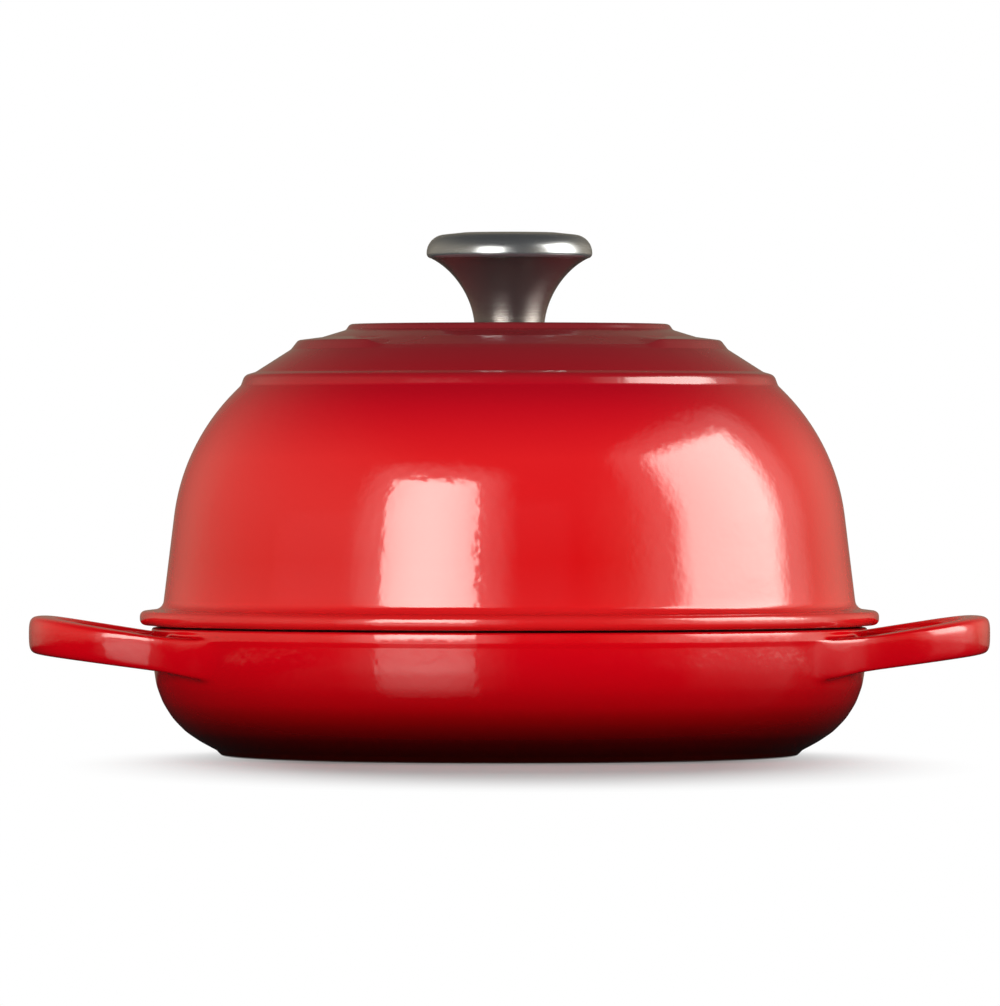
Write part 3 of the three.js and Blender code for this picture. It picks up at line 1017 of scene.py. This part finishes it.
    def _add_handle(
        self,
        frame: bmesh.types.BMesh,
        coat: Any,
        grid: list[list[bmesh.types.BMVert]],
        rows: Sequence[SectionPoint],
        low: int,
        roots: Sequence[int],
        columns: Sequence[float],
        side: int,
    ) -> None:
        """Sweep a handle from one root to the other and join it to the wall.

        Args:
            frame: The cage.
            coat: The layer that says which enamel lies on a vertex.
            grid: The cage's vertices by row and column.
            rows: The rows of the section that a root spans.
            low: The number of the lowest of them in the grid.
            roots: The first column of each root.
            columns: The angles of the columns.
            side: 1 for the handle on +X and -1 for the one on -X.
        """
        count, height = self.root_columns, len(rows) - 1
        rim_of_root = (
            [(c, 0) for c in range(count)]
            + [(count, r) for r in range(height)]
            + [(c, height) for c in range(count, 0, -1)]
            + [(0, r) for r in range(height, 0, -1)]
        )
        spots = [Vector((2 * c / count - 1, 2 * r / height - 1)) for c, r in rim_of_root]
        front, back = (roots[3], roots[0]) if side == 1 else (roots[2], roots[1])
        total = len(columns)
        rings = []
        for root, share in ((front, -1.0), (back, 1.0)):
            turned = (share < 0) == (side == 1)
            ring = []
            for (c, r), point in zip(rim_of_root, self.handle.section(share, spots)):
                column = count - c if turned else c
                vertex = grid[low + r][(root + column) % total]
                vertex.co = self._on_wall(point, side)
                ring.append(vertex)
            rings.append(ring)
        loop = [rings[0]]
        for share in crowded(self.handle.steps, self.handle.crowding)[1:-1]:
            ring = [frame.verts.new((side * p.x, p.y, p.z)) for p in self.handle.section(share, spots)]
            for vertex in ring:
                vertex[coat] = Coat.COLOUR.value
            loop.append(ring)
        loop.append(rings[1])
        for first, second in zip(loop, loop[1:]):
            for k in range(len(spots)):
                n = (k + 1) % len(spots)
                frame.faces.new([first[k], first[n], second[n], second[k]])

    def _on_wall(self, point: Vector, side: int) -> Vector:
        """Slide a point of the bar's section along the bar on to the pan's outer wall.

        Args:
            point: The point, on the +X side.
            side: 1 for the handle on +X and -1 for the one on -X.

        Returns:
            The point on the wall, on the handle's own side.
        """
        wall = [row for row in self.rows if self._is_wall(row)]
        below = max((r for r in wall if r.height <= point.z), key=lambda r: r.height)
        above = min((r for r in wall if r.height > point.z), key=lambda r: r.height)
        share = (point.z - below.height) / (above.height - below.height)
        radius = below.towards(above, share).radius
        start = Vector((point.x, point.y))
        along = self.handle.outward(math.copysign(self.handle.root_angle, point.y)).orthogonal()
        middle = start.dot(along)
        root = math.sqrt(max(middle * middle - start.length_squared + radius * radius, 0.0))
        slide = min((-middle + root, -middle - root), key=abs)
        spot = start + along * slide
        return Vector((side * spot.x, spot.y, point.z))


@dataclass
class EnamelledLid:
    """The domed lid with its stepped crown, one casting."""

    rim_round: float = 0.0018
    rim_thickness: float = 0.0052
    wall: float = 0.004
    draft: float = 7.0
    crown_thickness: float = 0.005
    crown_inner_round: float = 0.024
    dome_round: float = 0.074
    dome_inner_round: float = 0.072
    dome_top_slope: float = 45.0
    flange_overhang: float = 0.004
    flange_thickness: float = 0.0048
    flange_fall: float = 0.001
    flange_edge_round: float = 0.002
    flange_lower_round: float = 0.002
    neck_setback: float = 0.004
    neck_round: float = 0.0035
    seat_relief: float = 0.0005
    seat_clearance: float = 0.0002
    lip_clearance: float = 0.001
    lip_thickness: float = 0.003
    lip_depth: float = 0.0035
    hole_radius: float = 0.0036
    edge_round: float = 0.0006
    top_diameter: float = 0.1116
    top_riser: float = 0.0021
    top_riser_lean: float = 0.0014
    middle_diameter: float = 0.1478
    middle_drop: float = 0.0057
    middle_tread: float = 0.0085
    middle_riser: float = 0.0032
    middle_riser_lean: float = 0.0025
    middle_raised: float = 0.0019
    outer_diameter: float = 0.1852
    outer_drop: float = 0.0179
    outer_tread: float = 0.0038
    outer_riser: float = 0.0036
    outer_riser_lean: float = 0.0013
    tread_fall: float = 0.0011
    ring_edge_round: float = 0.002
    ring_hollow_round: float = 0.0016
    outer_edge_round: float = 0.0030
    outer_hollow_round: float = 0.0026
    tread_round: float = 0.003
    ring_gap_half_angle: float = 41.0
    ring_end_taper: float = 7.5
    segments: int = 240
    spacing: float = 0.003

    def __post_init__(self) -> None:
        """Take the flange's radius and the heights from the frame."""
        low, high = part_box("dome_lid")
        self.flange = high.x
        self.crown = high.z
        self.lip_bottom = low.z

    def corners(self, raised: float) -> list[Corner]:
        """Return the section's corners, from the screw hole under the crown round the flange.

        Args:
            raised: The middle ring's share of its full height.

        Returns:
            The corners, which close on the first one.
        """
        rim = self.flange - self.flange_overhang
        pan_height = self.lip_bottom + self.lip_depth
        seat = pan_height + self.seat_clearance
        ceiling = self.crown - self.crown_thickness
        diameters = (self.top_diameter, self.middle_diameter, self.outer_diameter)
        top, middle, outer = (diameter / 2 for diameter in diameters)
        middle_z = self.crown - self.middle_drop
        outer_z = self.crown - self.outer_drop
        middle_foot = Vector((middle + self.middle_riser_lean, middle_z - self.middle_riser))
        outer_tread = Vector((outer - self.outer_tread, outer_z + self.tread_fall))
        outer_foot = Vector((outer + self.outer_riser_lean, outer_z - self.outer_riser))
        flange_bottom = seat + self.seat_relief
        flange_top = flange_bottom + self.flange_thickness
        neck = Vector((rim - self.neck_setback, flange_top + self.flange_fall))
        shoulder = meet(neck, lean(-self.draft), outer_foot, rise(-self.dome_top_slope))
        seat_radius = rim - self.rim_round
        lip_outer = rim - self.rim_thickness - self.lip_clearance
        lip_inner = lip_outer - self.lip_thickness
        wall_inside = neck - Vector((self.wall / math.cos(math.radians(self.draft)), 0))
        slope = (outer_tread - middle_foot).normalized()
        slope_inside = middle_foot + Vector((slope.y, -slope.x)) * self.wall
        shoulder_inside = meet(wall_inside, lean(-self.draft), slope_inside, slope)
        crown_inside = meet(Vector((0, ceiling)), rise(0), slope_inside, slope)
        lip_top = meet(wall_inside, lean(-self.draft), Vector((lip_inner, 0)), rise(90))
        inside = [
            Corner(self.hole_radius, ceiling),
            Corner(*crown_inside, self.crown_inner_round),
            Corner(*shoulder_inside, self.dome_inner_round),
            Corner(*lip_top, self.lip_thickness),
            Corner(lip_inner, self.lip_bottom, self.edge_round),
            Corner(lip_outer, self.lip_bottom, self.edge_round),
            Corner(lip_outer, seat, self.edge_round / 2),
            Corner(seat_radius, seat, self.edge_round / 2),
            Corner(seat_radius + self.seat_relief, flange_bottom, self.edge_round / 2),
        ]
        outside = [
            Corner(self.flange, flange_bottom, self.flange_lower_round, Coat.EDGE),
            Corner(self.flange, flange_top, self.flange_edge_round),
            Corner(*neck, self.neck_round),
            Corner(*shoulder, self.dome_round),
            Corner(*outer_foot, self.outer_hollow_round),
            Corner(outer, outer_z, self.outer_edge_round),
            Corner(*outer_tread, self.tread_round),
            Corner(*middle_foot, self.ring_hollow_round),
            Corner(middle, middle_z - self.middle_raised * (1 - raised), self.ring_edge_round),
            Corner(middle - self.middle_tread, middle_z + self.tread_fall, self.tread_round),
            Corner(top + self.top_riser_lean, self.crown - self.top_riser, self.ring_hollow_round),
            Corner(top, self.crown, self.ring_edge_round),
            Corner(self.hole_radius, self.crown),
        ]
        return [replace(corner, coat=Coat.BLACK) for corner in inside] + outside

    def build(self, lathe: Lathe, finish: Material) -> Object:
        """Turn the lid, with its middle ring broken at the front and at the back."""
        ringed, bare = (trace(self.corners(raised), fine_steps) for raised in (1.0, 0.0))
        points = [
            replace(p, shift_radius=q.radius - p.radius, shift_height=q.height - p.height)
            for p, q in zip(ringed, bare)
        ]
        start = self.ring_gap_half_angle - self.ring_end_taper / 2
        section = space_out([*points, points[0]], self.spacing)
        ring_break = (start, start + self.ring_end_taper)
        lid = lathe.turn("enamelled_lid", section, self.segments, finish, ring_break)
        return fit(lid, "lid", "dome_lid")


@dataclass
class SteelKnob:
    """The knob's cap and stem, and the screw and washer that hold it from inside the lid.

    A fine seam parts the cap from the stem, whose shoulder is a little smaller than the cap.
    """

    cap_sheet: float = 0.0014
    cap_top_round: float = 0.0065
    cap_lower_round: float = 0.0018
    dish_diameter: float = 0.032
    dish_depth: float = 0.0008
    dish_round: float = 0.004
    edge_fall: float = 0.0014
    undercut: float = 0.0017
    undercut_rise: float = 1 / 6
    fit_gap: float = 0.0003
    seam: float = 0.00006
    shoulder_width: float = 0.0014
    foot_diameter: float = 0.0246
    stem_sheet: float = 0.0013
    foot_rise: float = 0.0098
    foot_lean: float = 0.0009
    flare_reach: float = 0.0074
    flare_fall: float = 0.0036
    stem_steps: int = 40
    thread_diameter: float = 0.006
    thread_clearance: float = 0.0003
    tip_chamfer: float = 0.0007
    head_height: float = 0.0038
    head_round: float = 0.0024
    slot_width: float = 0.0016
    slot_depth: float = 0.0018
    slot_sharp: float = 40.0
    edge_round: float = 0.0003
    segments: int = 128
    small_segments: int = 64
    spacing: float = 0.002

    def __post_init__(self) -> None:
        """Take the outer sizes and the heights from the frame."""
        cap_low, cap_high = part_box("knob_cap")
        self.cap_radius, self.cap_bottom, self.top = cap_high.x, cap_low.z, cap_high.z
        stem_low, stem_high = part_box("knob_stem")
        self.stem_foot, self.spigot_top = stem_low.z, stem_high.z
        self.shoulder = self.cap_radius - self.undercut
        self.spigot = self.shoulder - self.shoulder_width

    def cap(self) -> list[SectionPoint]:
        """Draw the cap's section, from inside its roof round its rim to the dished top."""
        roof = self.top - self.dish_depth - self.cap_sheet
        inner = self.cap_radius - self.cap_sheet
        lip = self.spigot + self.fit_gap
        rim_bottom = self.cap_bottom + self.undercut * self.undercut_rise
        corners = [
            Corner(0, roof),
            Corner(inner, roof, self.cap_top_round - self.cap_sheet),
            Corner(inner, self.cap_bottom + self.cap_sheet),
            Corner(lip, self.cap_bottom + self.cap_sheet, self.edge_round),
            Corner(lip, self.cap_bottom, self.edge_round),
            Corner(self.shoulder, self.cap_bottom, self.edge_round),
            Corner(self.cap_radius, rim_bottom, self.cap_lower_round),
            Corner(self.cap_radius, self.top - self.edge_fall, self.cap_top_round),
            Corner(self.dish_diameter / 2, self.top, self.dish_round),
            Corner(0, self.top - self.dish_depth),
        ]
        return space_out(trace(corners, fine_steps), self.spacing)

    def stem(self) -> list[SectionPoint]:
        """Draw the stem's section, a trumpet of sheet with a spigot that the cap sits on."""
        shoulder_z = self.cap_bottom - self.seam
        foot = self.foot_diameter / 2
        bore = self.spigot - self.stem_sheet
        outside = self._flare(foot, Vector((self.shoulder, shoulder_z)))
        inside = self._flare(foot - self.stem_sheet, Vector((bore, shoulder_z + self.stem_sheet)))
        spigot = [
            SectionPoint(self.spigot, shoulder_z),
            SectionPoint(self.spigot, self.spigot_top),
            SectionPoint(bore, self.spigot_top),
        ]
        return space_out([*outside, *spigot, *reversed(inside), outside[0]], self.spacing)

    def _flare(self, foot: float, top: Vector) -> list[SectionPoint]:
        """Draw the trumpet's curve from its foot to its shoulder.

        Args:
            foot: The radius at the foot.
            top: The curve's end at the shoulder.

        Returns:
            The points of a cubic curve.
        """
        knots = (
            Vector((foot, self.stem_foot)),
            Vector((foot + self.foot_lean, self.stem_foot + self.foot_rise)),
            top - Vector((self.flare_reach, self.flare_fall)),
            top,
        )
        points = []
        for k in range(self.stem_steps + 1):
            t = k / self.stem_steps
            weights = ((1 - t) ** 3, 3 * t * (1 - t) ** 2, 3 * t * t * (1 - t), t**3)
            spot = sum((w * p for w, p in zip(weights, knots)), Vector((0, 0)))
            points.append(SectionPoint(*spot))
        return points

    def washer(self) -> list[SectionPoint]:
        """Draw the washer's section."""
        low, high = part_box("screw_washer")
        bore = self.thread_diameter / 2 + self.thread_clearance
        corners = [
            Corner(bore, high.z),
            Corner(bore, low.z, self.edge_round),
            Corner(high.x, low.z, self.edge_round),
            Corner(high.x, high.z, self.edge_round),
            Corner(bore, high.z),
        ]
        return trace(corners, fine_steps)

    def screw(self) -> list[SectionPoint]:
        """Draw the screw's section, head down."""
        low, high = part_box("knob_screw")
        shank = self.thread_diameter / 2
        head_top = low.z + self.head_height
        corners = [
            Corner(0, low.z),
            Corner(high.x, low.z, self.head_round),
            Corner(high.x, head_top, self.edge_round),
            Corner(shank, head_top),
            Corner(shank, high.z - self.tip_chamfer, self.edge_round),
            Corner(shank - self.tip_chamfer, high.z, self.edge_round),
            Corner(0, high.z),
        ]
        return space_out(trace(corners, fine_steps), self.spacing)

    def build(self, lathe: Lathe, satin: Material, stem_painted_shade_finish: Material, plain: Material) -> list[Object]:
        """Turn the knob's pieces.

        Args:
            lathe: The tree that turns them.
            satin: The finish of the cap.
            stem_painted_shade_finish: The finish of the stem.
            plain: The finish of the screw and the washer.

        Returns:
            The pieces.
        """
        cap = lathe.turn("steel_cap", self.cap(), self.segments, satin)
        # The stem takes a darker copy of the cap's steel, as painted shade.
        stem = lathe.turn("steel_stem", self.stem(), self.segments, stem_painted_shade_finish)
        washer = lathe.turn("plain_washer", self.washer(), self.small_segments, plain)
        screw = lathe.turn("slotted_screw", self.screw(), self.small_segments, plain)
        self._cut_slot(screw)
        return [
            fit(cap, "lid", "knob_cap"),
            fit(stem, "lid", "knob_stem"),
            fit(washer, "lid", "screw_washer"),
            fit(screw, "lid", "knob_screw"),
        ]

    def _cut_slot(self, screw: Object) -> None:
        """Cut the driver's slot across the screw's head."""
        low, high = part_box("knob_screw")
        block = bmesh.new()
        bmesh.ops.create_cube(block, size=1.0)
        size = (4 * high.x, self.slot_width, 2 * self.slot_depth)
        bmesh.ops.scale(block, verts=block.verts, vec=size)
        bmesh.ops.translate(block, verts=block.verts, vec=(0, 0, low.z))
        mesh = bpy.data.meshes.new("slot")
        block.to_mesh(mesh)
        block.free()
        cutter = add_object("slot", mesh)
        cut = screw.modifiers.new("Slot", "BOOLEAN")
        cut.operation, cut.solver, cut.object = "DIFFERENCE", "EXACT", cutter
        make_plain(screw)
        screw.data.set_sharp_from_angle(angle=math.radians(self.slot_sharp))
        bpy.data.objects.remove(cutter)
        bpy.data.meshes.remove(mesh)


# The studio


class Role(Enum):
    """What a panel of light is for: its reflection in the pot, or the light that it throws."""

    REFLECTION = "reflection"
    LIGHT = "light"


@dataclass(frozen=True)
class Soft:
    """How a panel fades: its soft edges, its dimmer rim, its taper upwards and the haze round it."""

    left: float = 0.03
    right: float = 0.03
    low: float = 0.03
    high: float = 0.03
    dim_rim: float = 0.25
    taper: float = 0.0
    haze: float = 0.0
    haze_width: float = 0.3


@dataclass(frozen=True)
class Panel:
    """A flat panel of light that faces the pot."""

    WATTS = 4.0

    name: str
    role: Role
    azimuth: float
    distance: float
    middle: float
    width: float
    height: float
    radiance: float
    soft: Soft = Soft()
    code: int = 0xFFFBF2

    def build(self, aim: Vector) -> Object:
        """Place the panel round a point.

        Args:
            aim: The point that a panel for light faces; a panel for reflections stands upright.

        Returns:
            The panel.
        """
        a = math.radians(self.azimuth)
        place = Vector((math.sin(a) * self.distance, -math.cos(a) * self.distance, self.middle))
        mirrored = self.role is Role.REFLECTION
        panel = add_object(self.name, self._screen() if mirrored else self._lamp())
        facing = Vector((place.x, place.y, 0)) if mirrored else place - aim
        panel.location = place
        panel.rotation_euler = facing.to_track_quat("Z", "Y").to_euler()
        panel.visible_camera = panel.visible_shadow = False
        panel.visible_diffuse, panel.visible_glossy = not mirrored, mirrored
        return panel

    def _lamp(self) -> Light:
        """Build a lamp of the panel's size."""
        data = bpy.data.lights.new(self.name, "AREA")
        data.shape = "RECTANGLE"
        data.size, data.size_y = self.width, self.height
        data.energy = self.radiance * self.WATTS * self.width * self.height
        return data

    def _screen(self) -> Mesh:
        """Build a glowing sheet with soft edges and a haze round it."""
        soft = self.soft
        x, y, fade = self.width / 2, self.height / 2, soft.haze_width
        far_x, far_y = x + fade, y + fade
        mesh = rectangle(self.name, (-far_x, far_x), (-y, far_y))
        material, bench = stage_material(self.name)
        side, up, _ = bench.parts(bench.place())
        narrowing = bench.maths("MULTIPLY_ADD", up, -soft.taper / self.height, 1 + soft.taper / 2)
        across = bench.maths("MULTIPLY", side, narrowing)
        core = self._mask(
            bench,
            (across, -x, soft.left),
            (across, x, -soft.right),
            (up, -y, soft.low),
            (up, y, -soft.high),
        )
        haze = self._mask(bench, (across, -far_x, fade), (across, far_x, -fade), (up, far_y, -fade))
        off_middle = bench.maths("POWER", bench.maths("DIVIDE", across, x), 2.0)
        dimming = -soft.dim_rim * self.radiance
        bright = bench.maths("MULTIPLY_ADD", off_middle, dimming, self.radiance)
        lit = bench.maths("MULTIPLY", core, bright)
        strength = bench.maths("MULTIPLY_ADD", haze, soft.haze, lit)
        glow = bench.add("ShaderNodeEmission", {"Color": colour(self.code), "Strength": strength})
        clear = bench.add("ShaderNodeBsdfTransparent")
        bench.finish(bench.add("ShaderNodeAddShader", {0: glow.outputs[0], 1: clear.outputs[0]}))
        mesh.materials.append(material)
        return mesh

    @staticmethod
    def _mask(bench: Bench, *edges: tuple[Socket, float, float]) -> Socket:
        """Multiply soft edges together.

        Args:
            bench: The bench of the material.
            *edges: For each edge the coordinate, its place and the width that leads to full strength.

        Returns:
            The mask, from 0 to 1.
        """
        mask, *others = [bench.map(value, start, start + width) for value, start, width in edges]
        for edge in others:
            mask = bench.maths("MULTIPLY", mask, edge)
        return mask


def seen_directly(bench: Bench) -> Socket:
    """Return 1 for rays from the camera, from a reflection or through glass, and 0 for the others."""
    light_path = bench.add("ShaderNodeLightPath").outputs
    kinds = ("Camera", "Glossy", "Transmission")
    camera, glossy, through = (light_path[f"Is {kind} Ray"] for kind in kinds)
    return bench.maths("MAXIMUM", bench.maths("MAXIMUM", camera, glossy), through)


def show_in_reflections_only(name: str, mesh: Mesh) -> None:
    """Put a studio piece in the scene, hidden from everything but reflections."""
    obj = add_object(name, mesh)
    obj.visible_camera = obj.visible_diffuse = obj.visible_shadow = False


@dataclass
class Studio:
    """Camera, floor, backdrop and light."""

    azimuth: float = -1.5
    distance: float = 3.9
    eye_height: float = 0.107
    aim: tuple[float, float, float] = (-0.0033, 0.0, 0.0883)
    lens: float = 401.5
    sensor_width: float = 36.0
    clip_end: float = 100.0
    floor_size: float = 30.0
    floor_code: int = 0xE2E2E2
    sheet_size: float = 8.0
    sheet_height: float = 0.0004
    sheet_clearness: float = 0.012
    sheet_roughness: float = 0.03
    near_polish: float = 0.45
    polish_patch: tuple[float, float, float] = (-0.15, -0.34, 0.0)
    polish_patch_edge: Span = (0.27, 0.19)
    polish_right: Span = (0.0, 0.8)
    polish_far: Span = (0.46, 0.72)
    shadow_middle: float = -0.12
    shadow_squeeze: float = 0.5
    shadow_core: float = 0.06
    shadow_reach: float = 0.16
    room_level: float = 0.2
    net_radius: float = 3.0
    net_segments: int = 32
    net_rings: int = 16
    net_code: int = 0xFFEFD2
    net_front: float = 0.06
    net_back: float = 0.22
    net_left: float = 0.62
    net_right: float = 0.75
    net_depth_span: Span = (-0.3, 0.5)
    net_turn_span: Span = (-0.3, 0.3)
    net_side_span: Span = (0.3, 0.8)
    net_height_span: Span = (0.2, 1.05)
    panels: tuple[Panel, ...] = (
        Panel(
            "left_softbox", Role.REFLECTION,
            azimuth=-27.7, distance=1.2, middle=0.42, width=0.7, height=0.84, radiance=13.8,
            soft=Soft(low=0.12, high=0.06, dim_rim=0.4, haze=1.6, haze_width=0.35),
        ),
        Panel(
            "right_softbox", Role.REFLECTION,
            azimuth=78.5, distance=1.2, middle=0.62, width=1.34, height=1.3, radiance=10.8,
            soft=Soft(left=0.26, right=0.3, low=0.34, high=0.2, taper=0.15, haze=1.1, haze_width=0.5),
        ),
        Panel(
            "left_key", Role.LIGHT,
            azimuth=-60.0, distance=2.0, middle=0.25, width=1.8, height=0.5, radiance=7.5,
        ),
        Panel(
            "right_key", Role.LIGHT,
            azimuth=72.0, distance=2.0, middle=0.25, width=1.8, height=0.5, radiance=9.2,
        ),
        Panel(
            "front_fill", Role.LIGHT,
            azimuth=0.0, distance=3.0, middle=0.6, width=2.0, height=1.2, radiance=4.0,
        ),
        Panel(
            "back_light", Role.LIGHT,
            azimuth=180.0, distance=1.3, middle=1.0, width=0.9, height=1.0, radiance=7.5,
        ),
    )

    def build(self) -> None:
        """Place everything."""
        self._camera()
        self._floor()
        self._sheet()
        self._world()
        self._net()
        for panel in self.panels:
            panel.build(Vector((0, 0, self.aim[2])))
        bpy.context.scene.view_settings.view_transform = "Standard"

    def _camera(self) -> None:
        """Place the camera where the photograph was taken from."""
        aim = Vector(self.aim)
        a = math.radians(self.azimuth)
        data = bpy.data.cameras.new("camera")
        data.lens = self.lens
        data.sensor_width = self.sensor_width
        data.sensor_fit = "HORIZONTAL"
        data.clip_end = self.clip_end
        camera = add_object("camera", data)
        flat = Vector((math.sin(a), -math.cos(a), 0)) * self.distance
        camera.location = Vector((aim.x, aim.y, self.eye_height)) + flat
        camera.rotation_euler = (camera.location - aim).to_track_quat("Z", "Y").to_euler()
        bpy.context.scene.camera = camera

    def _floor(self) -> None:
        """Lay a pale floor, lit round the pot's shadow and white farther off."""
        half = self.floor_size / 2
        mesh = rectangle("floor", (-half, half), (-half, half))
        material, bench = stage_material("pale_floor")
        lit = bench.add("ShaderNodeBsdfDiffuse", {"Color": colour(self.floor_code)})
        white = bench.add("ShaderNodeEmission", {"Strength": seen_directly(bench)})
        ahead = bench.vectors("SUBTRACT", bench.place(), (0.0, self.shadow_middle, 0.0))
        squeezed = bench.vectors("MULTIPLY", ahead.outputs[0], (1.0, self.shadow_squeeze, 1.0))
        far = bench.map(bench.length(squeezed.outputs[0]), self.shadow_core, self.shadow_reach)
        both = {0: far, 1: lit.outputs[0], 2: white.outputs[0]}
        bench.finish(bench.add("ShaderNodeMixShader", both))
        mesh.materials.append(material)
        add_object("floor", mesh)

    def _sheet(self) -> None:
        """Lay a sheet of smoked glass on the floor, which only the pot's reflections see.

        It is polished in a patch before the pot, more and more to its right, and all round farther off.
        """
        half = self.sheet_size / 2
        mesh = rectangle("smoked_sheet", (-half, half), (-half, half), self.sheet_height)
        material, bench = stage_material("smoked_sheet")
        place = bench.place()
        from_patch = bench.vectors("SUBTRACT", place, self.polish_patch).outputs[0]
        polish: Any = 0.0
        for value, span, full in (
            (bench.length(from_patch), self.polish_patch_edge, self.near_polish),
            (bench.parts(place)[0], self.polish_right, self.near_polish),
            (bench.length(place), self.polish_far, 1.0),
        ):
            polish = bench.maths("MAXIMUM", bench.map(value, *span, 0.0, full), polish)
        grazing = bench.maths("MULTIPLY", bench.add("ShaderNodeFresnel").outputs[0], polish)
        grey = (*[self.sheet_clearness] * 3, 1.0)
        clear = bench.add("ShaderNodeBsdfTransparent", {"Color": grey})
        white = {"Color": (1, 1, 1, 1), "Roughness": self.sheet_roughness}
        mirror = bench.add("ShaderNodeBsdfGlossy", white)
        both = {0: grazing, 1: clear.outputs[0], 2: mirror.outputs[0]}
        bench.finish(bench.add("ShaderNodeMixShader", both))
        mesh.materials.append(material)
        show_in_reflections_only("smoked_sheet", mesh)

    def _world(self) -> None:
        """Surround the pot with a white room that lights it only a little."""
        world = bpy.data.worlds.new("studio")
        world.use_nodes = True
        bpy.context.scene.world = world
        bench = Bench(world.node_tree)
        strength = bench.maths("MAXIMUM", seen_directly(bench), self.room_level)
        background = next(n for n in world.node_tree.nodes if n.type == "BACKGROUND")
        background.inputs["Color"].default_value = (1, 1, 1, 1)
        bench.link(strength, background.inputs["Strength"])

    def _net(self) -> None:
        """Hang a grey net round the studio, which dims the white room in the pot's reflections.

        It is thinnest at the sides and closes before and above the pot.
        """
        shell = bmesh.new()
        steps = {"u_segments": self.net_segments, "v_segments": self.net_rings}
        bmesh.ops.create_uvsphere(shell, radius=self.net_radius, **steps)
        mesh = bpy.data.meshes.new("grey_net")
        shell.to_mesh(mesh)
        shell.free()
        material, bench = stage_material("grey_net")
        outward = bench.vectors("NORMALIZE", bench.place()).outputs[0]
        side, depth, up = bench.parts(outward)
        ends = bench.map(depth, *self.net_depth_span, self.net_front, self.net_back)
        sides = bench.map(side, *self.net_turn_span, self.net_left, self.net_right)
        aside = bench.map(bench.maths("ABSOLUTE", side), *self.net_side_span)
        low = bench.map(up, *self.net_height_span, 1.0, 0.0)
        mixed = bench.add("ShaderNodeMix", {"Factor": aside, "A": ends, "B": sides})
        dimming = bench.maths("MULTIPLY", mixed.outputs["Result"], low)
        clear = bench.scaled(colour(self.net_code)[:3], dimming)
        bench.finish(bench.add("ShaderNodeBsdfTransparent", {"Color": clear}))
        mesh.materials.append(material)
        show_in_reflections_only("grey_net", mesh)


# The pan's colour by height, darker towards the foot: partly the enamel's own tone, partly painted shade
# on the belly and painted light on the rim band and the handles.
PAN_ENAMEL = EnamelFinish(
    "glossy_pan_enamel",
    (
        (0.000, 0x230301), (0.007, 0x3C0102), (0.0112, 0x5E0103), (0.0153, 0x780104),
        (0.0193, 0x950108), (0.0274, 0xB0010C), (0.0356, 0xC00110), (0.0400, 0xC60310),
        (0.0425, 0xCE0410), (0.0480, 0xDE141C),
    ),
)
# The lid's colour by height, darker towards the crown: partly the enamel's own tone, partly painted light
# and shade, with a painted lighter band at the flange and painted reflection in the crown's greyer tones.
LID_ENAMEL = EnamelFinish(
    "glossy_lid_enamel",
    (
        (0.046, 0xC81014), (0.050, 0xD22022), (0.055, 0xCE161A), (0.069, 0xD00A10),
        (0.090, 0xD7181C), (0.104, 0xDB1C20), (0.1126, 0xD3151E), (0.121, 0xC60E1D),
        (0.129, 0xB20A1C), (0.1335, 0x9D1822), (0.142, 0x8D2027), (0.150, 0x812429),
    ),
)
SATIN_STEEL = SteelFinish("satin_steel", code=0x8E9194, gloss=0.22, metal=0.78)
# The stem's steel is the cap's steel painted darker and warmer: painted shade.
PAINTED_SHADE_STEEL = SteelFinish("painted_shade_satin_steel", code=0x767270, gloss=0.22, metal=0.84, line_depth=0.00004)
PLAIN_STEEL = SteelFinish("plain_steel", code=0xA0A1A3, gloss=0.34, metal=1.0, lines_per_metre=5000.0)


def main() -> None:
    """Build the pot and the studio."""
    logging.basicConfig(level=logging.INFO)
    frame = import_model()
    effects = Effects()
    lathe = Lathe()
    finishes = (PAN_ENAMEL, LID_ENAMEL, SATIN_STEEL, PAINTED_SHADE_STEEL, PLAIN_STEEL)
    pan_enamel, lid_enamel, satin, stem_painted_shade_finish, plain = (finish.material(effects) for finish in finishes)
    EnamelledPan().build(pan_enamel)
    EnamelledLid().build(lathe, lid_enamel)
    SteelKnob().build(lathe, satin, stem_painted_shade_finish, plain)
    plug = frame["nodes"]["knob_insert"]
    plug.data.materials.clear()
    plug.data.materials.append(plain)
    Studio().build()


if __name__ == "__main__":
    main()
